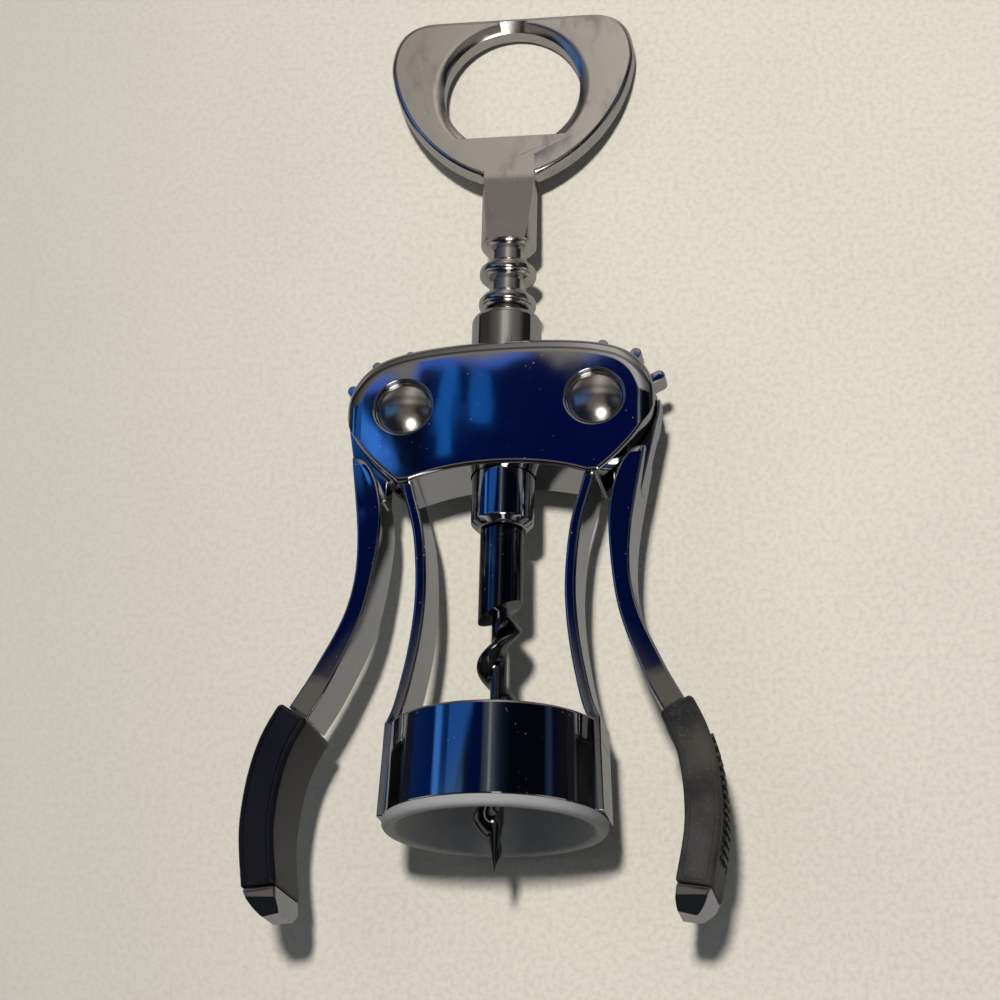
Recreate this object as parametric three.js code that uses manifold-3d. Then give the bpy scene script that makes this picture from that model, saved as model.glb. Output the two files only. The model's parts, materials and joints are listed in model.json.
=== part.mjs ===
// Wing corkscrew with a bottle opener on its handle, lying on its back on a table.
// Lengths are in millimetres. The tool is built in its own frame: X to the right, Y along the
// screw's axis towards the opener, Z out of the front plate, with the origin on the screw's axis,
// level with the two lever pivots. The last section lays it down on the table.
import * as THREE from "three";
import { mergeVertices } from "three/addons/utils/BufferGeometryUtils.js";
import Module from "manifold-3d";

const wasm = await Module();
wasm.setup();

// Clearances
const seatGap = 0.3; // between two pieces that touch, or turn on each other
const runGap = 0.25; // round the teeth and the rack, which run past the casting
const cutOverrun = 6; // how far a cutting shape runs past what it cuts
const weldDistance = 0.0001;

// Rack and gears
const rackPitch = 6.7;
const teethPerTurn = 12;
const toothCount = 7;
const toothWidth = 2.1;
const gearTipRadius = 14.1;
const gearRootRadius = 11.2;
const gearThickness = 4.8;
const pivotSpread = 18.4; // from the screw's axis to each pivot
const restTurn = 1.43; // degrees that the play in the mesh lets both levers lean to the left
const restSpin = 2.75; // degrees that the handle stands turned about the screw's axis
const meshLift = 0.5; // the groove in mesh lies this far above the pivots
const ringCount = 6;
const ringRadius = 5.6;
const ringTipThickness = 1.7;
const ringShoulderRadius = 4.9;
const ringShoulderThickness = 3.4;
const ringRootThickness = 4.4;
const rackCoreRadius = 3.6;
const gearPitchRadius = (teethPerTurn * rackPitch) / (2 * Math.PI);

// Opener handle
const stemRadius = 5.5;
const stemLength = 14.9; // from the last ring to the head
const stemFootThickness = 8.2; // across the flats, where the stem leaves the rack
const headThickness = 4.4;
const headHalfWidth = 25;
const headHeight = 37.4;
const headCornerHeight = 26.5; // where the head is widest
const headTopHalfWidth = 15.6; // of the straight far edge
const headCornerReach = 6.8; // how far the curve's handles reach into each top corner
const headEdgeRounding = 1.1;
const openerRadius = 14;
const openerRise = 20.4; // from the head's foot to the middle of the opening
const openerLipRise = 8.9; // from the head's foot to the straight lip
const openerRimWidth = 1.4;
const openerRimDepth = 0.7;

// Casting: two plates, the neck and the two arms of the yoke
const plateDepth = 14.6;
const crownHeight = 13.3;
const crownShoulderAngle = 62; // degrees round the lobe, from its side to where the crown meets it
const crownRounding = 3.2;
const plateEdgeRounding = 0.7;
const lobeRadius = 11.2;
const lobeRise = 0.3;
const lobeFootAngle = 30; // degrees below the lobe's side, where the plates' slanted sides begin
const flankReach = 6; // how far the lobe's curve leads the slanted side on before it turns in
const windowTop = 12.6; // the plates' lower edge, below the pivots
const windowCornerDrop = 2.7;
const neckRadius = 6.8;
const neckHeight = 21;
const neckRounding = 1.6;
const washerThickness = 0.5;
const washerRadius = 7;
const armDepth = 12;
const armThickness = 2.1;
const armEdgeRounding = 0.4;
const armFootInset = 0.95; // from the bell's rim in to the middle of each foot
const footSink = 4; // how far the feet reach down into the bell's rim

// Pivot pins
const pinRadius = 2.6;
const pinTenonRadius = 1.5;
const pinTenonLength = 2.2;
const pinHeadRadius = 5.1;
const pinHeadHeight = 1.9;
const recessRadius = 5.65;
const recessDepth = 1.2;

// Bell and its liner
const bellTopDrop = 62.4; // from the pivots to the bell's rim
const bellHeight = 16.9;
const bellMouthRadius = 20.3;
const bellTaper = 0.8; // how much narrower the bell is at its rim than at its mouth
const bellWall = 1.3;
const bellEdgeRounding = 0.6;
const bellPadProud = 0.15; // how far the flat pads on the bell's sides stand out of its wall
const lipHeight = 2;
const linerLipWidth = 2.5;
const linerTaper = 2.6; // how much narrower the liner is at its seat than at its mouth
const linerSeatDepth = 10.6; // from the mouth to the seat of the bottle's lip
const linerSeatWidth = 3;

// Lower collar and worm
const collarRadius = 5.95;
const collarTopDrop = 10.6;
const collarLength = 13;
const collarChamfer = 1.3;
const spigotRadius = 2.6;
const spigotLength = 27;
const wormRadius = 4.1;
const wormCoreRadius = 1.5;
const wormPitch = 14.4;
const wormReach = 88.4; // from the pivots to the point
const wormFluteDrop = 37; // from the pivots to where the flute begins, inside the shank
const wormCrestDrop = 43.6; // from the pivots to where the flute first stands to the right
const wormPointLength = 9;
const fluteSharpness = 6; // the power that thins the flute towards its crest
const fluteCrowding = 0.5; // how far the section's corners crowd towards the crest, from 0 to 1
const shankEndDrop = 40; // from the pivots to the middle of the shank's slanted end
const shankEndSlope = 26; // degrees

// Levers and grips
const leverReach = 21.5; // from the pivot out to the grip's bulge
const leverLength = 96.8; // from the pivot down to the tip
const shoulderDrop = 9; // from the pivot down to the arm's outer top corner
const shoulderLength = 12; // over which the arm's inner side curves out to its full width
const leverDepth = 12;
const leverTopWidth = 5.4;
const leverWaistWidth = 3.2;
const leverEndWidth = 4.1;
const leverEdgeRounding = 0.5;
const lugRadius = 11.8;
const lugDrop = 17.4; // from the pivot down to the end of the lug, inside the arm
const gripLength = 32.4;
const gripDepth = 17;
const gripWidth = 6.5;
const gripRounding = 1.1;
const tongueWidth = 3;
const tongueDepth = 11;
const tipLength = 4.4; // from the grip's end to the lever's
const tipWidth = 6;
const tipDepth = 15.6;
const tipBevelLength = 2.6;
const tipBevelDepth = 4;
const ribCount = 14;
const ribPadTopStep = 5.5; // from the grip's top end down to the pad's
const ribPadEndStep = 5.4; // from the grip's lower end up to the pad's
const ribPadDepth = 14.2;
const ribPadThickness = 1;
const ribPadSink = 0.7; // how far the pad lies in the grip
const ribHeight = 0.7;

// Shares of leverReach and leverLength: the lever's middle line, from inside the lug to the tip.
const leverPathShares = [
  [0.33, 0.085],
  [0.253, 0.265],
  [0.32, 0.4135],
  [0.568, 0.548],
  [0.9, 0.6875],
  [1, 0.827],
  [0.937, 0.951],
  [0.9, 1],
];
const leverWaistShare = 0.48; // of the arm's length, where it is narrowest
const tipInnerShare = 0.8; // of the tip's half width, left at its end on the inner side
const tipOuterShare = 0.3; // of the tip's half width, left at its end on the outer side
// Shares of pivotSpread and bellTopDrop: the middle line of a yoke arm, from plate to bell, before
// it leans out to its foot.
const armPathShares = [
  [0.98, 0.2],
  [0.91, 0.28],
  [0.8, 0.41],
  [0.755, 0.59],
  [0.8, 0.76],
  [0.915, 0.93],
];
// Shares of the head's half width and of its height up to the corner: the two handles of its flank.
const headFlankShares = [
  [0.636, 0.15],
  [0.955, 0.565],
];

// Facet counts
const roundSteps = 36;
const bellSteps = 56;
const smallRoundSteps = 20;
const rackSteps = 24;
const collarSteps = 28;
const curveSteps = 8;
const wormStepsPerTurn = 14;
const wormSectionSteps = 16;

const frontFace = plateDepth / 2;
const slotHalfDepth = gearThickness / 2 + washerThickness + 2 * seatGap;
const recessFloor = frontFace - recessDepth;
const channelRadius = collarRadius + runGap;
const neckBoreRadius = ringRadius + runGap;
const bellTopRadius = bellMouthRadius - bellTaper;
const armFootSpread = bellTopRadius - armFootInset;
const gripEndDrop = leverLength - tipLength;
const gripTopDrop = gripEndDrop - gripLength;
const ribPadTopDrop = gripTopDrop + ribPadTopStep;
const ribPadEndDrop = gripEndDrop - ribPadEndStep;
// The plates' slanted sides end at the arms' outer faces.
const plateCornerX = armPathShares[0][0] * pivotSpread + armThickness / 2;
const plateCornerDrop = windowTop + windowCornerDrop;
const headBase = ringHeight(ringCount) + stemLength;
const bellMouthDrop = bellTopDrop + bellHeight + lipHeight;
const linerMouthRadius = bellMouthRadius - linerLipWidth;
const linerSeatRadius = linerMouthRadius - linerTaper;
const corkPassageRadius = linerSeatRadius - linerSeatWidth;

// Materials
const chrome = new THREE.MeshStandardMaterial({ color: 0xd4d6da, roughness: 0.08, metalness: 1 });
const rivetSteel = new THREE.MeshStandardMaterial({ color: 0xc9c6c0, roughness: 0.16, metalness: 1 });
const wormSteel = new THREE.MeshStandardMaterial({ color: 0xb9bbc0, roughness: 0.18, metalness: 1 });
const blackGrip = new THREE.MeshStandardMaterial({ color: 0x17181b, roughness: 0.6, metalness: 0 });
const linerPlastic = new THREE.MeshStandardMaterial({ color: 0x6e7074, roughness: 0.45, metalness: 0 });
const washerPlastic = new THREE.MeshStandardMaterial({ color: 0xe6e4dc, roughness: 0.5, metalness: 0 });

// Height of a ring's middle above the pivots; ring 0 is the lowest.
function ringHeight(ring) {
  return meshLift + (ring - 1 / 2) * rackPitch;
}

// Solids

// A closed geometry as a solid that can be joined and cut.
function solid(geometry) {
  const bare = geometry.index ? geometry.toNonIndexed() : geometry.clone();
  bare.deleteAttribute("normal");
  bare.deleteAttribute("uv");
  const merged = mergeVertices(bare, weldDistance);
  return new wasm.Manifold(
    new wasm.Mesh({
      numProp: 3,
      vertProperties: merged.attributes.position.array,
      triVerts: new Uint32Array(merged.index.array),
    }),
  );
}

// A solid as a named mesh.
function named(name, made, material) {
  const { vertProperties, triVerts } = made.getMesh();
  const geometry = new THREE.BufferGeometry();
  geometry.setAttribute("position", new THREE.BufferAttribute(vertProperties, 3));
  geometry.setIndex(new THREE.BufferAttribute(triVerts, 1));
  geometry.computeVertexNormals();
  const mesh = new THREE.Mesh(geometry, material);
  mesh.name = name;
  return mesh;
}

// An outline in the XY plane made into a plate, centred on Z, with its edges rounded.
function plate(shape, depth, rounding = 0, roundingSteps = 1) {
  const geometry = new THREE.ExtrudeGeometry(shape, {
    depth: depth - 2 * rounding,
    curveSegments: curveSteps,
    bevelEnabled: rounding > 0,
    bevelThickness: rounding,
    bevelSize: rounding,
    bevelOffset: -rounding,
    bevelSegments: roundingSteps,
  });
  return solid(geometry.translate(0, 0, rounding - depth / 2));
}

// A closed profile of [radius, height] points turned round the Y axis.
function turned(profile, steps) {
  const points = profile.map(([radius, height]) => new THREE.Vector2(radius, height));
  return solid(new THREE.LatheGeometry([...points, points[0]], steps));
}

// A round bar along Z from one height to another, at a point of the XY plane.
function barAlongZ(radius, from, to, x, y, steps) {
  const geometry = new THREE.CylinderGeometry(radius, radius, to - from, steps);
  return solid(geometry.rotateX(Math.PI / 2).translate(x, y, (from + to) / 2));
}

function box(width, height, depth, x, y, z) {
  return solid(new THREE.BoxGeometry(width, height, depth).translate(x, y, z));
}

// A smooth line through shares of a width and of a drop below the pivots.
function pathThrough(shares, width, drop) {
  return new THREE.SplineCurve(shares.map(([x, y]) => new THREE.Vector2(x * width, -y * drop)));
}

// Where along a falling path it has come down by a given drop.
function shareAtDrop(path, drop) {
  let low = 0;
  let high = 1;
  while (high - low > weldDistance) {
    const middle = (low + high) / 2;
    if (path.getPoint(middle).y > -drop) low = middle;
    else high = middle;
  }
  return low;
}

// The outline of a strip that follows a path between two drops. Each side is set off from the
// path by a length that may change along it, from 0 at the strip's start to 1 at its end.
function strip(path, fromDrop, toDrop, leftOffset, rightOffset, steps) {
  const start = shareAtDrop(path, fromDrop);
  const end = shareAtDrop(path, toDrop);
  const left = [];
  const right = [];
  for (let step = 0; step <= steps; step++) {
    const share = step / steps;
    const at = start + (end - start) * share;
    const point = path.getPoint(at);
    const along = path.getTangent(at);
    const side = new THREE.Vector2(-along.y, along.x);
    left.push(point.clone().addScaledVector(side, leftOffset(share)));
    right.push(point.clone().addScaledVector(side, -rightOffset(share)));
  }
  return new THREE.Shape([...right, ...left.reverse()]);
}

// Casting

// The right half of an outline is mirrored to make its left half.
function mirroredOutline(half) {
  const right = half.getPoints(curveSteps);
  const left = right.slice(1, -1).reverse().map((point) => new THREE.Vector2(-point.x, point.y));
  return new THREE.Shape([...right, ...left]);
}

// The crown runs level over the neck, then slopes down into the round lobe about the pivot.
function crownLine(lobeEnd) {
  const half = new THREE.Path();
  const lobeStart = THREE.MathUtils.degToRad(crownShoulderAngle);
  const lobeTopX = pivotSpread + lobeRadius * Math.cos(lobeStart);
  const lobeTopY = lobeRise + lobeRadius * Math.sin(lobeStart);
  const shoulderX = lobeTopX - (crownHeight - lobeTopY) * Math.tan(lobeStart);
  half.moveTo(0, crownHeight);
  half.quadraticCurveTo(shoulderX, crownHeight, lobeTopX, lobeTopY);
  half.absarc(pivotSpread, lobeRise, lobeRadius, lobeStart, lobeEnd, true);
  return half;
}

function plateOutline() {
  const foot = -THREE.MathUtils.degToRad(lobeFootAngle);
  const half = crownLine(foot);
  half.quadraticCurveTo(
    pivotSpread + lobeRadius * Math.cos(foot) + flankReach * Math.sin(foot),
    lobeRise + lobeRadius * Math.sin(foot) - flankReach * Math.cos(foot),
    plateCornerX,
    -plateCornerDrop,
  );
  half.lineTo(plateCornerX - armThickness, -plateCornerDrop);
  half.quadraticCurveTo(plateCornerX / 2, -windowTop, 0, -windowTop);
  return mirroredOutline(half);
}

// The plates' upper edges are rounded more than the rest, by a block that runs on below them.
function crownOutline() {
  const half = crownLine(0);
  const foot = -plateCornerDrop - crownRounding - cutOverrun;
  half.lineTo(pivotSpread + lobeRadius, foot);
  half.lineTo(0, foot);
  return mirroredOutline(half);
}

function yokeArm(side) {
  const lean = armFootSpread / pivotSpread - 1;
  const shares = [...armPathShares, [1, 1]].map(([out, down]) => [out + lean * down, down]);
  const path = pathThrough(shares, pivotSpread, bellTopDrop);
  const half = () => armThickness / 2;
  const outline = strip(path, windowTop + armThickness / 2, bellTopDrop, half, half, 2 * curveSteps);
  const arm = plate(outline, armDepth, armEdgeRounding);
  return side > 0 ? arm : arm.mirror([1, 0, 0]);
}

// The room of the two feet in the bell's rim, with a gap round it.
function footRoom(gap) {
  const low = -bellTopDrop - footSink - gap;
  const high = -bellTopDrop + armThickness / 2 + gap;
  const width = 2 * (bellMouthRadius + bellPadProud + gap);
  const hollow = [
    [0, low - cutOverrun],
    [bellTopRadius - bellWall - gap, low - cutOverrun],
    [bellTopRadius - bellWall - gap, high + cutOverrun],
    [0, high + cutOverrun],
  ];
  const room = box(width, high - low, armDepth + 2 * gap, 0, (low + high) / 2, 0);
  return room.subtract(turned(hollow, bellSteps));
}

function frameCasting() {
  const slotRadius = gearTipRadius + runGap;
  let casting = plate(plateOutline(), plateDepth, plateEdgeRounding)
    .intersect(plate(crownOutline(), plateDepth, crownRounding, 2))
    .add(yokeArm(1))
    .add(yokeArm(-1))
    .add(bellWallAndPads(armThickness / 2).intersect(footRoom(0)));
  const neck = [
    [0, 0],
    [neckRadius, 0],
    [neckRadius, neckHeight - neckRounding],
    [neckRadius - neckRounding * (1 - Math.SQRT1_2), neckHeight - neckRounding * (1 - Math.SQRT1_2)],
    [neckRadius - neckRounding / 2, neckHeight],
    [0, neckHeight],
  ];
  casting = casting.add(turned(neck, roundSteps));
  for (const side of [-1, 1]) {
    const x = side * pivotSpread;
    const slotExitX = side * (plateCornerX + lobeRadius / 2);
    casting = casting
      .subtract(box(lobeRadius, 2 * windowCornerDrop, 2 * slotHalfDepth, slotExitX, -plateCornerDrop, 0))
      .subtract(barAlongZ(slotRadius, -slotHalfDepth, slotHalfDepth, x, 0, roundSteps))
      .subtract(barAlongZ(pinRadius + seatGap, -plateDepth, plateDepth, x, 0, smallRoundSteps))
      .subtract(barAlongZ(recessRadius, recessFloor, plateDepth, x, 0, roundSteps))
      .subtract(barAlongZ(recessRadius, -plateDepth, -recessFloor, x, 0, roundSteps));
  }
  const channel = [
    [0, -windowTop - cutOverrun],
    [channelRadius, -windowTop - cutOverrun],
    [channelRadius, lobeRadius - channelRadius],
    [neckBoreRadius, lobeRadius - channelRadius],
    [neckBoreRadius, neckHeight + cutOverrun],
    [0, neckHeight + cutOverrun],
  ];
  return named("frame_casting", casting.subtract(turned(channel, roundSteps)), chrome);
}

// Bell

// The arms' feet are shaped as the bell's own wall, which runs on up above the rim for them.
function bellWallAndPads(rise) {
  const top = -bellTopDrop + rise;
  const bottom = -bellTopDrop - bellHeight;
  const profile = [
    [bellTopRadius - bellWall, top],
    [bellMouthRadius - bellWall, bottom],
    [bellMouthRadius, bottom],
    [bellTopRadius, top - bellEdgeRounding],
    [bellTopRadius - bellEdgeRounding, top],
  ];
  return turned(profile, bellSteps).add(bellPads(rise));
}

function bellRing() {
  return named("bell_ring", bellWallAndPads(0).subtract(footRoom(seatGap)), chrome);
}

// The arms' outer faces run on down the bell's sides, as two flat pads that widen with the bell.
function bellPads(rise) {
  const top = -bellTopDrop - bellEdgeRounding + rise;
  const bottom = -bellTopDrop - bellHeight;
  const topX = bellTopRadius + bellPadProud;
  const bottomX = bellMouthRadius + bellPadProud;
  const outline = new THREE.Shape([
    new THREE.Vector2(-topX, top),
    new THREE.Vector2(-bottomX, bottom),
    new THREE.Vector2(bottomX, bottom),
    new THREE.Vector2(topX, top),
  ]);
  const hollow = [
    [0, -bellTopDrop + cutOverrun],
    [0, bottom - cutOverrun],
    [bellMouthRadius - bellWall / 2, bottom - cutOverrun],
    [bellTopRadius - bellWall / 2, -bellTopDrop + cutOverrun],
  ];
  return plate(outline, armDepth, armEdgeRounding).subtract(turned(hollow, bellSteps));
}

// The liner guides the bottle's mouth up to its seat, and lets the cork through.
function bellLiner() {
  const mouth = -bellMouthDrop;
  const seat = mouth + linerSeatDepth;
  const top = -bellTopDrop - footSink - 2 * seatGap;
  const lipTop = mouth + lipHeight - seatGap;
  const outer = bellMouthRadius - bellWall - seatGap;
  const topOuter = outer - ((bellMouthRadius - bellTopRadius) * (top - lipTop)) / bellHeight;
  const rounding = lipHeight / 2;
  const profile = [
    [corkPassageRadius, top],
    [corkPassageRadius, seat],
    [linerSeatRadius, seat],
    [linerMouthRadius, mouth + rounding / 2],
    [linerMouthRadius + rounding / 2, mouth],
    [bellMouthRadius - rounding, mouth],
    [bellMouthRadius - rounding / 4, mouth + rounding / 4],
    [bellMouthRadius, mouth + rounding],
    [bellMouthRadius, lipTop],
    [outer, lipTop],
    [topOuter, top],
  ];
  return named("bell_liner", turned(profile, roundSteps), linerPlastic);
}

// Pivot pins, their rear caps and the washers beside the gears

function domeProfile(radius, height) {
  const base = radius * Math.cos(Math.PI / 8);
  return [
    [radius, 0],
    [radius, height / 4],
    [base, height * (1 / 4 + 3 / 8)],
    [base * Math.SQRT1_2, height * (1 - 1 / 9)],
    [0, height],
  ];
}

function pivotPin(name) {
  const tenonEnd = -recessFloor - seatGap - pinTenonLength / 2;
  const shaftEnd = tenonEnd + pinTenonLength;
  const headBottom = recessFloor + seatGap;
  const head = domeProfile(pinHeadRadius, pinHeadHeight).map(([r, h]) => [r, h + headBottom]);
  const profile = [
    [0, tenonEnd],
    [pinTenonRadius, tenonEnd],
    [pinTenonRadius, shaftEnd],
    [pinRadius, shaftEnd],
    [pinRadius, headBottom],
    ...head,
  ];
  const mesh = named(name, turned(profile, smallRoundSteps), rivetSteel);
  mesh.rotation.x = Math.PI / 2;
  return mesh;
}

function pinCap(name) {
  const blind = pinTenonLength / 2 + seatGap;
  const profile = [
    [pinTenonRadius + seatGap, 0],
    ...domeProfile(pinHeadRadius, pinHeadHeight).slice(0, -1),
    [0, pinHeadHeight],
    [0, blind],
    [pinTenonRadius + seatGap, blind],
  ];
  const mesh = named(name, turned(profile, smallRoundSteps), rivetSteel);
  mesh.rotation.x = -Math.PI / 2;
  mesh.position.z = -recessFloor - seatGap;
  return mesh;
}

function gearWasher(name, side) {
  const profile = [
    [pinRadius + seatGap, -washerThickness / 2],
    [washerRadius, -washerThickness / 2],
    [washerRadius, washerThickness / 2],
    [pinRadius + seatGap, washerThickness / 2],
  ];
  const mesh = named(name, turned(profile, smallRoundSteps), washerPlastic);
  mesh.rotation.x = Math.PI / 2;
  mesh.position.z = side * (gearThickness / 2 + seatGap + washerThickness / 2);
  return mesh;
}

// Levers, built round their pivot as the right-hand one; the left one is its mirror image.
const leverPath = pathThrough(leverPathShares, leverReach, leverLength);

function blend(from, to, share) {
  return from + (to - from) * THREE.MathUtils.smoothstep(share, 0, 1);
}

function leverHalfWidth(share) {
  const toWaist = blend(leverTopWidth, leverWaistWidth, share / leverWaistShare);
  const fromWaist = (share - leverWaistShare) / (1 - leverWaistShare);
  return blend(toWaist, leverEndWidth, fromWaist) / 2;
}

function gearTooth(angle) {
  const outline = new THREE.Shape();
  const tip = gearTipRadius - toothWidth / 2;
  outline.moveTo(0, -toothWidth / 2);
  outline.absarc(tip, 0, toothWidth / 2, -Math.PI / 2, Math.PI / 2, false);
  outline.lineTo(0, toothWidth / 2);
  const degrees = THREE.MathUtils.radToDeg(angle);
  return plate(outline, gearThickness).rotate([0, 0, degrees]);
}

// The lug joins the gear to the arm. Between the plates it keeps inside the gear's slot, and its
// inner edge stands off the yoke, so that the lever can close a little further.
function leverLug() {
  const outline = new THREE.Shape();
  const armTop = shareAtDrop(leverPath, lugDrop);
  const middle = leverPath.getPoint(armTop);
  const inner = middle.x - leverHalfWidth(0);
  outline.moveTo(lugRadius, -toothWidth / 2);
  outline.lineTo(middle.x + leverHalfWidth(0), middle.y);
  outline.lineTo(inner, middle.y);
  outline.lineTo(inner, -Math.sqrt(gearTipRadius ** 2 - inner ** 2));
  outline.lineTo(-toothWidth / 2, -gearRootRadius + toothWidth / 2);
  outline.lineTo(0, 0);
  outline.lineTo(lugRadius * Math.cos(toothWidth / gearRootRadius), toothWidth / 2);
  return plate(outline, gearThickness);
}

// The arm starts in a shoulder: its inner side curves out from the outer top corner.
function leverArm() {
  const shoulderShare = shoulderLength / (gripTopDrop - shoulderDrop);
  const inner = (share) => {
    const left = Math.max(0, 1 - share / shoulderShare);
    return leverHalfWidth(share) * (2 * Math.sqrt(1 - left ** 2) - 1);
  };
  const outline = strip(leverPath, shoulderDrop, gripTopDrop, leverHalfWidth, inner, 3 * curveSteps);
  return plate(outline, leverDepth, leverEdgeRounding);
}

function leverTip() {
  const outer = (share) => (tipWidth / 2) * (1 - (1 - tipOuterShare) * share);
  const inner = (share) => (tipWidth / 2) * (1 - (1 - tipInnerShare) * share ** 2);
  const outline = strip(leverPath, gripEndDrop + seatGap, leverLength, outer, inner, curveSteps / 2);
  let tip = plate(outline, tipDepth, leverEdgeRounding);
  const end = leverPath.getPoint(1);
  const slope = Math.atan2(tipBevelDepth, tipBevelLength);
  for (const side of [-1, 1]) {
    const wedge = new THREE.BoxGeometry(gripDepth, gripDepth, gripDepth)
      .translate(0, 0, (side * gripDepth) / 2)
      .rotateX(side * slope)
      .translate(end.x, end.y, side * (tipDepth / 2 - tipBevelDepth));
    tip = tip.subtract(solid(wedge));
  }
  return tip;
}

function leverCasting(name) {
  const half = () => tongueWidth / 2;
  const tongue = strip(
    leverPath,
    gripTopDrop - tongueWidth,
    gripEndDrop + tongueWidth,
    half,
    half,
    curveSteps,
  );
  let lever = barAlongZ(gearRootRadius, -gearThickness / 2, gearThickness / 2, 0, 0, roundSteps)
    .add(leverLug())
    .add(leverArm())
    .add(plate(tongue, tongueDepth))
    .add(leverTip());
  const meshAngle = Math.PI - Math.atan2(meshLift, gearPitchRadius);
  for (let tooth = -1; tooth < toothCount - 1; tooth++) {
    lever = lever.add(gearTooth(meshAngle - (tooth * 2 * Math.PI) / teethPerTurn));
  }
  const bore = barAlongZ(pinRadius + seatGap, -gearThickness, gearThickness, 0, 0, smallRoundSteps);
  return named(name, lever.subtract(bore), chrome);
}

// The pad's outline, let into the grip's outer side.
function padOutline(gap) {
  const outer = () => gripWidth / 2 - ribPadSink + ribPadThickness + gap;
  const inner = () => -(gripWidth / 2 - ribPadSink - gap);
  return strip(leverPath, ribPadTopDrop - gap, ribPadEndDrop + gap, outer, inner, curveSteps);
}

function leverGrip(name) {
  const half = () => gripWidth / 2;
  const bore = () => tongueWidth / 2 + seatGap;
  const outline = strip(leverPath, gripTopDrop + seatGap, gripEndDrop, half, half, curveSteps + 2);
  const hollow = strip(
    leverPath,
    gripTopDrop - cutOverrun,
    gripEndDrop + cutOverrun / 2,
    bore,
    bore,
    curveSteps + 4,
  );
  const grip = plate(outline, gripDepth, gripRounding, 2)
    .subtract(plate(hollow, tongueDepth + 2 * seatGap))
    .subtract(plate(padOutline(seatGap), ribPadDepth + 2 * seatGap));
  return named(name, grip, blackGrip);
}

function gripRibPad(name) {
  let pad = plate(padOutline(0), ribPadDepth);
  const start = shareAtDrop(leverPath, ribPadTopDrop);
  const end = shareAtDrop(leverPath, ribPadEndDrop);
  const spacing = (end - start) / ribCount;
  const surface = gripWidth / 2 - ribPadSink + ribPadThickness;
  const ribWidth = (ribPadEndDrop - ribPadTopDrop) / ribCount / 2;
  for (let rib = 0; rib < ribCount; rib++) {
    const at = start + spacing * (rib + 1 / 2);
    const point = leverPath.getPoint(at);
    const along = leverPath.getTangent(at);
    const side = new THREE.Vector2(-along.y, along.x);
    point.addScaledVector(side, surface);
    const bar = new THREE.BoxGeometry(2 * ribHeight, ribWidth, ribPadDepth - ribWidth)
      .rotateZ(Math.atan2(side.y, side.x))
      .translate(point.x, point.y, 0);
    pad = pad.add(solid(bar));
  }
  return named(name, pad, blackGrip);
}

// One side's lever with its pin, cap and washers; the left side is the right one mirrored.
function leverSide(word, side) {
  const lever = new THREE.Group();
  lever.rotation.z = -side * THREE.MathUtils.degToRad(restTurn);
  lever.add(leverCasting(word + "_lever"));
  lever.add(leverGrip(word + "_grip"));
  lever.add(gripRibPad(word + "_grip_rib_pad"));
  const group = new THREE.Group();
  group.scale.x = side;
  group.position.x = side * pivotSpread;
  group.add(lever);
  group.add(pivotPin(word + "_pivot_pin"));
  group.add(pinCap(word + "_pin_cap"));
  group.add(gearWasher(word + "_front_washer", 1));
  group.add(gearWasher(word + "_rear_washer", -1));
  return group;
}

// Opener handle: rack, stem and head in one casting

function rackAndStem() {
  const profile = [
    [spigotRadius + seatGap, seatGap - collarTopDrop],
    [rackCoreRadius, seatGap - collarTopDrop],
  ];
  for (let ring = 0; ring <= ringCount; ring++) {
    const height = ringHeight(ring);
    const radius = ring < ringCount ? ringRadius : stemRadius;
    profile.push([rackCoreRadius, height - ringRootThickness / 2]);
    profile.push([ringShoulderRadius, height - ringShoulderThickness / 2]);
    profile.push([radius, height - ringTipThickness / 2]);
    if (ring < ringCount) {
      profile.push([radius, height + ringTipThickness / 2]);
      profile.push([ringShoulderRadius, height + ringShoulderThickness / 2]);
      profile.push([rackCoreRadius, height + ringRootThickness / 2]);
    }
  }
  const boreTop = seatGap - collarTopDrop - collarLength + spigotLength - seatGap;
  profile.push([stemRadius, headBase + headThickness]);
  profile.push([0, headBase + headThickness]);
  profile.push([0, boreTop]);
  profile.push([spigotRadius + seatGap, boreTop]);
  return turned(profile, rackSteps);
}

// The flats that thin the round stem down to the head's thickness, seen from the side.
function stemFlats() {
  const foot = ringHeight(ringCount) - ringTipThickness / 2;
  const low = -collarTopDrop - cutOverrun;
  const half = headThickness / 2;
  const outline = new THREE.Shape([
    new THREE.Vector2(-ringRadius - cutOverrun, low),
    new THREE.Vector2(ringRadius + cutOverrun, low),
    new THREE.Vector2(ringRadius + cutOverrun, foot),
    new THREE.Vector2(stemFootThickness / 2, foot),
    new THREE.Vector2(half, headBase - headThickness / 4),
    new THREE.Vector2(half, headBase + 2 * headThickness),
    new THREE.Vector2(-half, headBase + 2 * headThickness),
    new THREE.Vector2(-half, headBase - headThickness / 4),
    new THREE.Vector2(-stemFootThickness / 2, foot),
    new THREE.Vector2(-ringRadius - cutOverrun, foot),
  ]);
  return plate(outline, 4 * stemRadius).rotate([0, 90, 0]);
}

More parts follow.
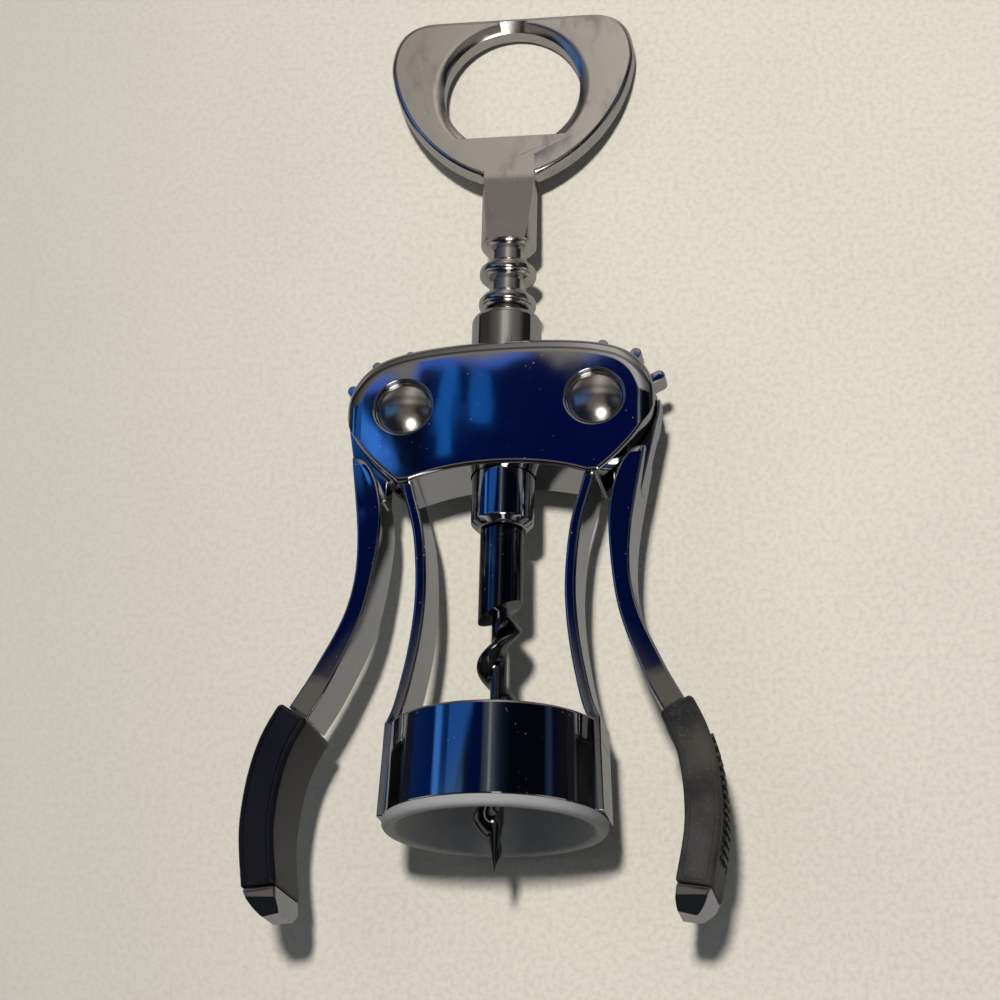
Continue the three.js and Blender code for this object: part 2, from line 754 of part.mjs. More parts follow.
function headOutline() {
  const [lowShare, highShare] = headFlankShares;
  const corner = headCornerHeight;
  const top = headHeight;
  const half = new THREE.Path();
  half.moveTo(stemRadius, 0);
  half.bezierCurveTo(
    lowShare[0] * headHalfWidth,
    lowShare[1] * corner,
    highShare[0] * headHalfWidth,
    highShare[1] * corner,
    headHalfWidth,
    corner,
  );
  half.bezierCurveTo(
    headHalfWidth,
    corner + headCornerReach,
    headTopHalfWidth + headCornerReach,
    top,
    headTopHalfWidth,
    top,
  );
  const right = half.getPoints(curveSteps + 2);
  const left = [...right].reverse().map((point) => new THREE.Vector2(-point.x, point.y));
  const outline = new THREE.Shape([...right, ...left]);
  const opening = new THREE.Path();
  const lip = Math.asin((openerLipRise - openerRise) / openerRadius);
  opening.absarc(0, openerRise, openerRadius, lip, Math.PI - lip, false);
  outline.holes.push(opening);
  return outline;
}

function openerHandle() {
  const head = plate(headOutline(), headThickness, headEdgeRounding, 2).translate([0, headBase, 0]);
  const rim = new THREE.CylinderGeometry(
    openerRadius + 2 * openerRimWidth,
    openerRadius,
    2 * openerRimDepth,
    roundSteps,
  )
    .rotateX(Math.PI / 2)
    .translate(0, headBase + openerRise, headThickness / 2);
  const aboveLip = headBase + openerLipRise;
  const lipGuard = box(
    4 * openerRadius,
    openerRadius,
    4 * headThickness,
    0,
    aboveLip - openerRadius / 2,
    0,
  );
  const handle = rackAndStem()
    .intersect(stemFlats())
    .add(head)
    .subtract(solid(rim).subtract(lipGuard));
  return named("opener_handle", handle, chrome);
}

// Lower collar and worm

function lowerCollar() {
  const top = -collarTopDrop;
  const bottom = top - collarLength;
  const profile = [
    [spigotRadius + seatGap, bottom],
    [collarRadius - collarChamfer, bottom],
    [collarRadius, bottom + collarChamfer],
    [collarRadius, top - collarChamfer],
    [collarRadius - collarChamfer, top],
    [spigotRadius + seatGap, top],
  ];
  return named("lower_collar", turned(profile, collarSteps), chrome);
}

// How far the flute stands out of the core, from 0 to 1, at an angle from its crest.
function fluteShare(angle) {
  return ((1 + Math.cos(angle)) / 2) ** fluteSharpness;
}

// A cam-shaped section, turned as it goes down, makes the single flute round the core. The
// section's corners crowd towards the crest, where the flute is thin.
function flutedWorm() {
  const length = wormReach - wormFluteDrop;
  const steps = Math.round((length / wormPitch) * wormStepsPerTurn);
  const positions = [];
  const faces = [];
  for (let step = 0; step < steps; step++) {
    const fallen = (length * step) / steps;
    const left = length - fallen;
    const core = wormCoreRadius * Math.min(1, left / wormPointLength);
    const flute = (wormRadius - wormCoreRadius) * THREE.MathUtils.smoothstep(left, 0, wormPointLength);
    for (let corner = 0; corner < wormSectionSteps; corner++) {
      const even = (2 * Math.PI * corner) / wormSectionSteps;
      const angle = even - fluteCrowding * Math.sin(even);
      const radius = core + flute * fluteShare(angle);
      const turn = angle + (2 * Math.PI * (wormFluteDrop + fallen - wormCrestDrop)) / wormPitch;
      positions.push(radius * Math.cos(turn), -wormFluteDrop - fallen, radius * Math.sin(turn));
    }
  }
  const lastRing = (steps - 1) * wormSectionSteps;
  positions.push(0, -wormReach, 0);
  positions.push(0, -wormFluteDrop, 0);
  const point = steps * wormSectionSteps;
  for (let corner = 0; corner < wormSectionSteps; corner++) {
    const next = (corner + 1) % wormSectionSteps;
    for (let step = 0; step < steps - 1; step++) {
      const row = step * wormSectionSteps;
      const below = row + wormSectionSteps;
      faces.push(row + corner, row + next, below + corner);
      faces.push(row + next, below + next, below + corner);
    }
    faces.push(lastRing + corner, lastRing + next, point);
    faces.push(next, corner, point + 1);
  }
  const geometry = new THREE.BufferGeometry();
  geometry.setAttribute("position", new THREE.Float32BufferAttribute(positions, 3));
  geometry.setIndex(faces);
  return solid(geometry);
}

function worm() {
  const shankTop = -collarTopDrop - collarLength - seatGap;
  const shankEnd = -shankEndDrop - 2 * wormRadius;
  const profile = [
    [0, shankEnd],
    [wormRadius, shankEnd],
    [wormRadius, shankTop],
    [spigotRadius, shankTop],
    [spigotRadius, shankTop + spigotLength],
    [0, shankTop + spigotLength],
  ];
  const slant = new THREE.BoxGeometry(shankEndDrop, shankEndDrop, shankEndDrop)
    .translate(0, -shankEndDrop / 2, 0)
    .rotateZ(THREE.MathUtils.degToRad(shankEndSlope))
    .translate(0, -shankEndDrop, 0);
  const shank = turned(profile, rackSteps).subtract(solid(slant));
  return named("worm", shank.add(flutedWorm()), wormSteel);
}

// The whole tool, laid on its back
const bell = bellRing();
const handle = new THREE.Group();
handle.rotation.y = THREE.MathUtils.degToRad(restSpin);
handle.add(openerHandle());
handle.add(worm());
const tool = new THREE.Group();
tool.add(frameCasting());
tool.add(bell);
tool.add(bellLiner());
tool.add(handle);
tool.add(lowerCollar());
tool.add(leverSide("left", -1));
tool.add(leverSide("right", 1));

const part = new THREE.Group();
part.name = "wing_corkscrew";
part.add(tool);

function lowestPoint(piece) {
  return new THREE.Box3().setFromObject(piece, true).min.z;
}

// The tool leans until the bell's upper rim and the lower corner of the head touch the table.
let steep = Math.atan2(bellMouthRadius, bellTopDrop);
let level = 0;
while (steep - level > weldDistance / bellMouthDrop) {
  tool.rotation.x = -(steep + level) / 2;
  part.updateMatrixWorld(true);
  if (lowestPoint(handle) < lowestPoint(bell)) steep = -tool.rotation.x;
  else level = -tool.rotation.x;
}
const bounds = new THREE.Box3().setFromObject(part, true);
const middle = bounds.getCenter(new THREE.Vector3());
tool.position.set(-middle.x, -middle.y, -bounds.min.z);

export default part;
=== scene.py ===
# %% [markdown]
# # A wing corkscrew, lying on its back
#
# The CAD model already fixes where every piece is and how it moves. Its curved faces are made of
# flat facets, and a mirror finish would show each one. So this lesson models each piece again,
# finely, in the same place and at the same size, and then gives it a finish.
#
# The first cell loads the CAD model. Everything that follows rides on its bodies.

# %% Load the frame
import json
import math

import bmesh
import bpy
from mathutils import Matrix, Vector


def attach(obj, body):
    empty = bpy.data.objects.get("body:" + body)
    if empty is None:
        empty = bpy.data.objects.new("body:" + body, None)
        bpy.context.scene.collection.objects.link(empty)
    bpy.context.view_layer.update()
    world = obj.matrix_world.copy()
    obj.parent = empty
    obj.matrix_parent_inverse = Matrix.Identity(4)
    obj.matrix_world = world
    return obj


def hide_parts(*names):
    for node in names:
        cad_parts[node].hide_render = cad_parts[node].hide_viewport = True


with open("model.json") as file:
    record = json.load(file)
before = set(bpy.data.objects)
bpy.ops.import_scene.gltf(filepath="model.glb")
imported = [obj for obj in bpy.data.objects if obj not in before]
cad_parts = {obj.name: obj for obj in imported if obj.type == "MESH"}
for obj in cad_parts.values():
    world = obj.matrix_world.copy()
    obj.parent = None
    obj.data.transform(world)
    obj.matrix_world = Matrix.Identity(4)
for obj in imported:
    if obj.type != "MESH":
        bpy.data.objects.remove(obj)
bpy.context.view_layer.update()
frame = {"nodes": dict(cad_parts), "record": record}

MM = 0.001

# %% [markdown]
# ## The tool's own axes
#
# The tool leans a little, because its bell is fatter than its handle. It is easier to model it
# upright and lay it down at the end. The two lever hinges give its axes: one line joins them, and
# their own axis points out of the front plate. Inside these cells a length is in millimetres, X
# runs to the right, Y runs up the screw's axis and Z points out of the front plate.
#
# As in the photograph, the play in the gears lets both levers lean a little to the left, and the
# handle stands turned by a few degrees.

# %% The tool's axes
joints = {joint["name"]: joint for joint in frame["record"]["behaviour"]["joints"]}
left_pivot = Vector(joints["left_lever_hinge"]["pos_m"])
right_pivot = Vector(joints["right_lever_hinge"]["pos_m"])
across = (right_pivot - left_pivot).normalized()
outward = Vector(joints["right_lever_hinge"]["axis"]).normalized()
upward = outward.cross(across)
TOOL = Matrix((across, upward, outward)).transposed().to_4x4()
TOOL.translation = (left_pivot + right_pivot) / 2
PIVOT = (right_pivot - left_pivot).length / 2 / MM


def extent(node):
    """The lowest and highest corners of a CAD node along the tool's axes, in millimetres."""
    to_tool = TOOL.inverted()
    points = [to_tool @ vertex.co / MM for vertex in frame["nodes"][node].data.vertices]
    low = Vector([min(point[i] for point in points) for i in range(3)])
    high = Vector([max(point[i] for point in points) for i in range(3)])
    return low, high


REST_TURN = math.radians(1.43)
REST_SPIN = math.radians(2.75)
print("pivots are", round(2 * PIVOT, 2), "mm apart")

# %% [markdown]
# ## Two bench tools: the lathe and the plate
#
# Almost every piece here is either turned, like the bell, or cut from a plate with rounded edges,
# like the levers. So two functions make nearly all of the shapes. Curves are sampled finely,
# because a mirror finish shows a facet that a matt one would hide.

# %% Curves
SAME_POINT = 1e-4


def bezier(controls, steps):
    """Points on a Bezier curve of any degree.

    Each gap between two controls is cut at the same share, which leaves one control fewer, until
    only the point itself is left.
    """
    points = []
    for step in range(steps + 1):
        share = step / steps
        level = [Vector(control) for control in controls]
        while len(level) > 1:
            level = [a.lerp(b, share) for a, b in zip(level, level[1:])]
        points.append(level[0])
    return points


def arc(centre, radius, start, end, steps):
    """Points on an arc, with its angles in degrees."""
    points = []
    for step in range(steps + 1):
        angle = math.radians(start + (end - start) * step / steps)
        points.append(Vector(centre) + radius * Vector((math.cos(angle), math.sin(angle))))
    return points


def joined(*stretches):
    """One outline from several stretches, without the points that they share."""
    points = []
    for stretch in stretches:
        for point in stretch:
            if not points or (point - points[-1]).length > SAME_POINT:
                points.append(Vector(point))
    if (points[0] - points[-1]).length < SAME_POINT:
        points.pop()
    return points


def mirrored(right_half):
    """A whole outline from its right half, which ends where the left half has to start."""
    left_half = [Vector((-point.x, point.y)) for point in reversed(right_half)]
    return joined(right_half, left_half)


def rectangle(low, high):
    """The outline of a rectangle between two opposite corners."""
    return [Vector(low[:2]), Vector((high[0], low[1])), Vector(high[:2]), Vector((low[0], high[1]))]


corner_gap = arc((0, 0), 1, 0, 90, 2)[1].length - 1
print("an arc keeps its radius to within", f"{abs(corner_gap):.0e}")

# %% [markdown]
# Blender has its own Spin tool for a turned shape, and its Solidify and Bevel modifiers for a
# plate. Here each mesh is written as points and faces instead: that keeps every radius exact,
# leaves no seam, and always gives a closed surface, which the cutting further on depends on.

# %% Meshes
MERGE_DISTANCE = 1e-5
THIN_FACE = 1e-6
MITRE_LIMIT = 0.4


def link(name, mesh):
    """A new object for a mesh."""
    obj = bpy.data.objects.new(name, mesh)
    bpy.context.scene.collection.objects.link(obj)
    return obj


def from_faces(name, points, faces):
    """A closed mesh with its faces turned outwards."""
    mesh = bpy.data.meshes.new(name)
    mesh.from_pydata([tuple(point) for point in points], [], faces)
    bm = bmesh.new()
    bm.from_mesh(mesh)
    bmesh.ops.remove_doubles(bm, verts=bm.verts, dist=MERGE_DISTANCE)
    bmesh.ops.dissolve_degenerate(bm, edges=bm.edges, dist=THIN_FACE)
    loose = [edge for edge in bm.edges if not edge.link_faces]
    bmesh.ops.delete(bm, geom=loose, context="EDGES")
    if bm.calc_volume(signed=True) < 0:
        bmesh.ops.reverse_faces(bm, faces=bm.faces)
    bm.to_mesh(mesh)
    bm.free()
    return link(name, mesh)


def volume(mesh):
    """A closed mesh's volume, and how many of its edges are open."""
    bm = bmesh.new()
    bm.from_mesh(mesh)
    open_edges = sum(1 for edge in bm.edges if not edge.is_manifold)
    inside = bm.calc_volume(signed=True)
    bm.free()
    return inside, open_edges


def lathe(name, profile, steps=128, along_z=False):
    """A closed profile of (radius, height) points turned round the tool's Y axis, or round Z."""
    points = []
    faces = []
    for step in range(steps):
        angle = 2 * math.pi * step / steps
        for radius, height in profile:
            x = radius * math.cos(angle)
            other = radius * math.sin(angle)
            points.append((x, other, height) if along_z else (x, height, other))
    count = len(profile)
    for step in range(steps):
        here = step * count
        there = (step + 1) % steps * count
        for corner in range(count):
            after = (corner + 1) % count
            faces.append((here + corner, here + after, there + after, there + corner))
    return from_faces(name, points, faces)


def inset(outline, distance):
    """The outline moved inwards, with its corners mitred."""
    shrunk = []
    count = len(outline)
    for index, point in enumerate(outline):
        into = (point - outline[index - 1]).normalized()
        out = (outline[(index + 1) % count] - point).normalized()
        normal = Vector((into.y, -into.x)) + Vector((out.y, -out.x))
        normal.normalize()
        mitre = max(MITRE_LIMIT, normal.dot(Vector((into.y, -into.x))))
        shrunk.append(point - normal * distance / mitre)
    return shrunk


def plate(name, outline, depth, rounding=0.0, steps=4, middle=0.0, ladder=False, fall=None):
    """An outline cut from plate, centred on a height along Z, with rounded edges.

    A ladder is a strap whose outline runs down one side and back up the other: its flat faces are
    made of rungs, because a long curved outline makes a poor single face. The fall is how deep the
    rounding reaches, where that isn't the same as its width.
    """
    fall = fall or rounding
    area = sum(a.cross(b) for a, b in zip(outline, outline[1:] + outline[:1]))
    outline = outline if area > 0 else outline[::-1]
    quarter = math.pi / 2
    turns = [quarter * step / steps for step in range(steps, -1, -1)] if rounding else [quarter]
    layers = []
    for side in (-1, 1):
        for turn in turns:
            turn = turn if side > 0 else quarter - turn
            height = side * (depth / 2 - fall * (1 - math.cos(turn)))
            layers.append((rounding * (1 - math.sin(turn)), height))
    points = []
    for inward, height in layers:
        ring = inset(outline, inward) if inward else outline
        points += [(point.x, point.y, middle + height) for point in ring]
    count = len(outline)
    top = (len(layers) - 1) * count
    if ladder:
        faces = []
        for rung in range(count // 2 - 1):
            near = (rung, rung + 1, count - 2 - rung, count - 1 - rung)
            faces.append(tuple(reversed(near)))
            faces.append(tuple(top + corner for corner in near))
    else:
        faces = [tuple(reversed(range(count))), tuple(range(top, top + count))]
    for row in range(len(layers) - 1):
        for corner in range(count):
            after = (corner + 1) % count
            low = row * count
            high = low + count
            faces.append((low + corner, low + after, high + after, high + corner))
    return from_faces(name, points, faces)


def moved(obj, angle=0.0, axis="Z", at=(0, 0, 0)):
    """Turns a piece about one of the tool's axes, by an angle in radians, then shifts it."""
    obj.data.transform(Matrix.Rotation(angle, 4, axis))
    obj.data.transform(Matrix.Translation(at))
    return obj


def rod(name, radius, low, high, at=(0, 0, 0), steps=128):
    """A round bar along Z, for drilling holes and cutting recesses."""
    profile = [(0, low), (radius, low), (radius, high), (0, high)]
    return moved(lathe(name, profile, steps, along_z=True), at=at)


def block(name, low, high):
    """A rectangular cutter between two corners."""
    return plate(name, rectangle(low, high), high[2] - low[2], middle=(low[2] + high[2]) / 2)


print("bench tools: lathe, plate, rod and block")

# %% [markdown]
# ## Joining and cutting
#
# A casting is one solid, so its forms have to become one mesh. Blender's Boolean modifier does
# that. Of its solvers, Manifold is quick and leaves no gaps, and it takes closed meshes alone.

# %% Joining and cutting
def bake_modifiers(obj):
    """Turns what a piece's modifiers show into its mesh."""
    view = bpy.context.evaluated_depsgraph_get()
    mesh = bpy.data.meshes.new_from_object(obj.evaluated_get(view))
    obj.modifiers.clear()
    obj.data = mesh


def combine(obj, tool, operation):
    """Joins a tool to a piece, cuts it away or keeps what they share. The tool is used up."""
    modifier = obj.modifiers.new("combine", "BOOLEAN")
    modifier.operation = operation
    modifier.solver = "MANIFOLD"
    modifier.object = tool
    bake_modifiers(obj)
    bpy.data.objects.remove(tool)
    return obj


def join(obj, *tools):
    """Melts other solids into a piece."""
    for tool in tools:
        combine(obj, tool, "UNION")
    return obj


def cut(obj, *tools):
    """Cuts other solids out of a piece."""
    for tool in tools:
        combine(obj, tool, "DIFFERENCE")
    return obj


def keep(obj, tool):
    """Leaves only what a piece shares with another solid."""
    return combine(obj, tool, "INTERSECT")


def flipped(obj, name):
    """A mirror image of a piece, for the other side of the tool."""
    mesh = obj.data.copy()
    mesh.transform(Matrix.Scale(-1, 4, (1, 0, 0)))
    mesh.flip_normals()
    return link(name, mesh)


print("joining, cutting and mirroring ready")

# %% [markdown]
# ## Laying a piece down
#
# A finished piece is scaled to metres, laid down with the tool, and tied to the body that carries
# it. Its soft edges are shaded smooth and its sharp ones stay sharp. The weighted normals keep
# each flat face flat right up to its rounded edge, which matters most on chrome.

# %% Laying pieces down
SHARP_ANGLE = math.radians(32)
pieces = {}


def lay_down(obj, body, slot, finish, *nodes):
    """Puts a piece in its place on the table and ties it to its body."""
    mesh = obj.data
    inside, open_edges = volume(mesh)
    wanted = sum(volume(frame["nodes"][node].data)[0] for node in nodes) / MM**3
    print(f"{obj.name}: {inside:.0f} mm3, CAD {wanted:.0f} mm3, {open_edges} open edges")
    mesh.transform(TOOL @ Matrix.Scale(MM, 4))
    mesh.materials.clear()
    mesh.materials.append(finish)
    mesh.polygons.foreach_set("use_smooth", [True] * len(mesh.polygons))
    mesh.set_sharp_from_angle(angle=SHARP_ANGLE)
    weighted = obj.modifiers.new("flat faces stay flat", "WEIGHTED_NORMAL")
    weighted.mode = "FACE_AREA"
    weighted.weight = 100
    weighted.keep_sharp = True
    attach(obj, body)
    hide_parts(*nodes)
    pieces[obj.name] = obj


print("edges sharper than", round(math.degrees(SHARP_ANGLE)), "degrees stay sharp")

# %% [markdown]
# ## Writing a finish as a sum
#
# A procedural material is a formula over the surface. Blender draws such a formula as Math nodes,
# which are hard to read. The small class `Value` wraps a socket, so that the formula can be
# written in Python: adding or multiplying two values makes the node that does it. `Finish` is the
# material that the formula belongs to, and its `node` method makes every other kind of node.

# %% Node maths
class Value:
    """A number that changes over the surface, with Python's operators."""

    def __init__(self, finish, socket):
        self.finish = finish
        self.socket = socket

    def math(self, operation, *values, clamp=False):
        """A Math node of the given operation on the given values."""
        settings = {"operation": operation, "use_clamp": clamp}
        return self.finish.node("ShaderNodeMath", settings, *values).value("Value")

    def __add__(self, other):
        return self.math("ADD", self, other)

    __radd__ = __add__

    def __sub__(self, other):
        return self.math("SUBTRACT", self, other)

    def __rsub__(self, other):
        return self.math("SUBTRACT", other, self)

    def __mul__(self, other):
        return self.math("MULTIPLY", self, other)

    __rmul__ = __mul__

    def __truediv__(self, other):
        return self.math("DIVIDE", self, other)

    def __rtruediv__(self, other):
        return self.math("DIVIDE", other, self)

    def __pow__(self, other):
        return self.math("POWER", self, other)

    def above(self, low, high):
        """0 below one level, 1 above another, with a soft step between them."""
        settings = {"interpolation_type": "SMOOTHSTEP"}
        values = {"Value": self, "From Min": low, "From Max": high}
        return self.finish.node("ShaderNodeMapRange", settings, **values).value("Result")

    def between(self, low, high, soft):
        """1 between two levels and 0 outside them, with a soft step at each."""
        return self.above(low - soft, low) * (1 - self.above(high, high + soft))

    def at_least(self, level):
        """The value, or the level where the value is below it."""
        return self.math("MAXIMUM", self, level)


class Made:
    """A node that has been made, and its outputs."""

    def __init__(self, finish, node):
        self.finish = finish
        self.node = node

    def value(self, name):
        """One of its outputs, ready for sums."""
        return Value(self.finish, self.node.outputs[name])


class Finish:
    """A material or a world under construction: one method makes every node."""

    def __init__(self, name, world=None):
        self.material = world or bpy.data.materials.new(name)
        self.material.use_nodes = True
        self.tree = self.material.node_tree
        self.tree.nodes.clear()

    def node(self, kind, settings=None, *ordered, **named):
        """A node of a type, with its settings, then the values or links of its sockets."""
        made = self.tree.nodes.new(kind)
        for name, setting in (settings or {}).items():
            if name == "stops":
                ramp = made.color_ramp
                while len(ramp.elements) < len(setting):
                    ramp.elements.new(0.5)
                for element, (position, colour) in zip(ramp.elements, setting):
                    element.position = position
                    element.color = (*colour, 1)
            else:
                setattr(made, name, setting)
        for index, value in enumerate(ordered):
            self.feed(made.inputs[index], value)
        for name, value in named.items():
            self.feed(made.inputs[name], value)
        return Made(self, made)

    def feed(self, socket, value):
        """Links a value to a socket, or sets a plain number or colour on it."""
        if isinstance(value, Value):
            self.tree.links.new(value.socket, socket)
        elif isinstance(value, (tuple, list)) and len(value) == 3 and socket.type == "RGBA":
            socket.default_value = (*value, 1)
        else:
            socket.default_value = value

    def place(self):
        """The point on the piece, in metres of the rest pose."""
        return self.node("ShaderNodeTexCoord").value("Object")

    def noise(self, size_mm, detail=3.0, stretch=(1, 1, 1), roughness=0.5):
        """Smooth noise with blobs of about a given size, stretched along the axes."""
        named = {"Vector": self.place(), "Scale": stretch}
        where = self.node("ShaderNodeMapping", None, **named).value("Vector")
        named = {"Vector": where, "Scale": 1 / (size_mm * MM)}
        made = self.node("ShaderNodeTexNoise", None, **named, Detail=detail, Roughness=roughness)
        return made.value("Fac")

    def rightward(self):
        """How far to the right a point lies, in metres of the rest pose."""
        return self.node("ShaderNodeSeparateXYZ", None, self.place()).value("X")

    def mix(self, mask, first, second):
        """One colour where the mask is 0 and another where it is 1."""
        made = self.node("ShaderNodeMix", {"data_type": "RGBA"})
        colours = [socket for socket in made.node.inputs if socket.type == "RGBA"]
        self.feed(made.node.inputs[0], mask)
        self.feed(colours[0], first)
        self.feed(colours[1], second)
        result = [socket for socket in made.node.outputs if socket.type == "RGBA"][0]
        return Value(self, result)

    def bump(self, height, depth_mm):
        """A normal for a surface that rises by a depth where the height goes from 0 to 1."""
        named = {"Height": height, "Distance": depth_mm * MM, "Strength": 1.0}
        return self.node("ShaderNodeBump", None, **named).value("Normal")

    def surface(self, **values):
        """The Principled surface and its output. An underscore is a space in a socket's name."""
        named = {name.replace("_", " "): value for name, value in values.items()}
        shader = self.node("ShaderNodeBsdfPrincipled", None, **named)
        self.node("ShaderNodeOutputMaterial", None, Surface=shader.value("BSDF"))
        return self.material


print("node maths ready")

# %% [markdown]
# ## Chrome plating
#
# Chrome has almost no colour of its own. What shows on it is the room, so a mirror with a perfect
# surface looks computed. Cast and plated zinc is never quite flat: long soft waves bend the
# reflections, and fingers leave a faint haze. The waves go into the normal and the haze into the
# roughness. A few specks of dust are the only part of the surface that isn't metal.

# %% Plated finishes
CHROME_TINT = (0.63, 0.64, 0.66)
HAZE_TINT = (0.56, 0.56, 0.56)
HEAD_TINT = (0.84, 0.81, 0.76)
STEEL_TINT = (0.66, 0.63, 0.59)
# The worm's tint is far darker than steel's. It is painted shade, for the black that the worm
# mirrors.
WORM_SHADED_TINT = (0.16, 0.16, 0.165)
DUST = (0.34, 0.36, 0.42)
DUST_SPAN = (0.85, 0.88)
DUST_COVER = 0.7
DUST_DULLS = 0.6
HAZE_SPAN = (0.48, 0.72)
HAZE_COVER = 0.6
SMEAR_SIZE = 9
WAVE_SIZE = 16
DUST_SIZE = 0.5


def plated(name, tint, rough, haze_rough, wave_mm):
    """A plated metal with soft waves, patches of haze and a few specks of dust."""
    finish = Finish(name)
    smear = finish.noise(SMEAR_SIZE, detail=6, stretch=(1, 0.45, 1), roughness=0.62)
    haze = smear.above(*HAZE_SPAN)
    waves = finish.noise(WAVE_SIZE, detail=2, stretch=(1, 0.6, 1))
    dust = finish.noise(DUST_SIZE, detail=0).above(*DUST_SPAN) * DUST_COVER
    return finish.surface(
        Base_Color=finish.mix(dust, finish.mix(haze * HAZE_COVER, tint, HAZE_TINT), DUST),
        Metallic=1 - dust * DUST_DULLS,
        Roughness=rough + haze * haze_rough,
        Normal=finish.bump(waves, wave_mm),
    )


bright_chrome = plated("bright_chrome", CHROME_TINT, rough=0.03, haze_rough=0.03, wave_mm=0.02)
turned_chrome = plated("turned_chrome", CHROME_TINT, rough=0.05, haze_rough=0.05, wave_mm=0.02)
head_chrome = plated("handled_chrome", HEAD_TINT, rough=0.16, haze_rough=0.14, wave_mm=0.05)
rivet_steel = plated("rivet_steel", STEEL_TINT, rough=0.23, haze_rough=0.05, wave_mm=0.01)
worm_steel = plated("worm_steel", WORM_SHADED_TINT, rough=0.1, haze_rough=0.12, wave_mm=0.02)
metals = [bright_chrome, turned_chrome, head_chrome, rivet_steel, worm_steel]
print("plated:", ", ".join(metal.name for metal in metals))

# %% [markdown]
# ## Moulded plastics
#
# The grips are black, with a fine spark-eroded grain from the mould and greyer rubbed patches.
# The patches are partly wear and partly a painted sheen: they grow from left to right across the
# tool, so the right-hand grip looks greyer and duller than the left-hand one. The bell's liner is
# a pale grey plastic, slightly see-through at its edges, so some light scatters inside it. The
# washers are whiter.

# %% Plastic finishes
GRIP_DARK = (0.0025, 0.003, 0.006)
GRIP_WORN_SHEEN = (0.085, 0.082, 0.070)
GRIP_GRAIN_SIZE = 0.32
GRIP_GRAIN_DEPTH = 0.05
RUB_SIZE = 14
RUB_SPAN = (0.2, 0.85)
RUB_COVER = 0.7
FLECK_SIZE = 0.5
FLECK_SPAN = (0.6, 0.72)
FLECK_COVER = 0.25
SHEEN_SPAN = (-0.02, 0.02)
LEFT_SHEEN = 0.06
RIGHT_SHEEN = 1.1
LINER_GREY = (0.31, 0.315, 0.325)
LINER_PALE = (0.34, 0.345, 0.35)
WASHER_WHITE = (0.78, 0.77, 0.72)


def grip_plastic():
    """Black plastic with greyer rubbed patches, strengthened towards the right by a painted sheen.
    """
    finish = Finish("grip_plastic")
    grain = finish.noise(GRIP_GRAIN_SIZE, detail=2.5)
    rubbed = finish.noise(RUB_SIZE, detail=3, roughness=0.6).above(*RUB_SPAN)
    fleck = finish.noise(FLECK_SIZE, detail=1).above(*FLECK_SPAN)
    # Painted sheen: the patches grow from left to right, so the right-hand grip looks greyer.
    rightward_sheen = LEFT_SHEEN + finish.rightward().above(*SHEEN_SPAN) * RIGHT_SHEEN
    greyed = (rubbed * RUB_COVER + fleck * FLECK_COVER) * rightward_sheen
    return finish.surface(
        Base_Color=finish.mix(greyed, GRIP_DARK, GRIP_WORN_SHEEN),
        Roughness=0.26 + rubbed * rightward_sheen * 0.3 + grain * 0.1,
        Normal=finish.bump(grain, GRIP_GRAIN_DEPTH),
        Specular_IOR_Level=0.5,
    )


def liner_plastic():
    """Pale grey plastic, clouded like an unpainted moulding."""
    finish = Finish("liner_plastic")
    cloud = finish.noise(7, detail=3)
    grain = finish.noise(0.3, detail=2)
    return finish.surface(
        Base_Color=finish.mix(cloud.above(0.35, 0.7), LINER_GREY, LINER_PALE),
        Roughness=0.38 + cloud * 0.12,
        Normal=finish.bump(grain, 0.006),
        Subsurface_Weight=0.12,
        Subsurface_Radius=(0.002, 0.002, 0.002),
    )


def washer_plastic():
    """White plastic with a soft sheen."""
    finish = Finish("washer_plastic")
    cloud = finish.noise(3, detail=3)
    return finish.surface(
        Base_Color=finish.mix(cloud, WASHER_WHITE, LINER_PALE),
        Roughness=0.4 + cloud * 0.15,
        Normal=finish.bump(cloud, 0.01),
    )


black_grip = grip_plastic()
pale_liner = liner_plastic()
white_washer = washer_plastic()
print("moulded:", ", ".join(plastic.name for plastic in (black_grip, pale_liner, white_washer)))

# %% [markdown]
# ## The casting
#
# Two bowed plates hold the gears between them. They are one casting with the neck above and the
# two thin arms of the yoke below. The outline is half of a crown and a round lobe, mirrored. Its
# upper edges are rounded far more than its lower ones, so the plate is the overlap of two: one
# with the right outline and small edges, and one that runs on below it and has the large edges.

# %% The casting's plates
casting_low, casting_high = extent("frame_casting")
GEAR_TIP = 14.1
PLATE_DEPTH = casting_high.z - casting_low.z
LOBE_RADIUS = casting_high.x - PIVOT
LOBE_RISE = 0.3
LOBE_START = 62
LOBE_FOOT = 30
FLANK_REACH = 6
CROWN_HEIGHT = 13.3
CROWN_ROUNDING = 3.2
CROWN_FALL = 1.9
PLATE_ROUNDING = 0.75
WINDOW_TOP = 12.6
CORNER_DROP = 15.3
CORNER_X = 19.08
ARM_THICKNESS = 2.1
ARM_DEPTH = 12
OVERRUN = 8
ARC_STEPS = 48


def crown_line(lobe_end):
    """The middle of the crown, then down round the right-hand lobe."""
    lobe_top = arc((PIVOT, LOBE_RISE), LOBE_RADIUS, LOBE_START, LOBE_START, 1)[0]
    fall = (CROWN_HEIGHT - lobe_top.y) * math.tan(math.radians(LOBE_START))
    crown = bezier([(0, CROWN_HEIGHT), (lobe_top.x - fall, CROWN_HEIGHT), lobe_top], 40)
    return joined(crown, arc((PIVOT, LOBE_RISE), LOBE_RADIUS, LOBE_START, lobe_end, ARC_STEPS))


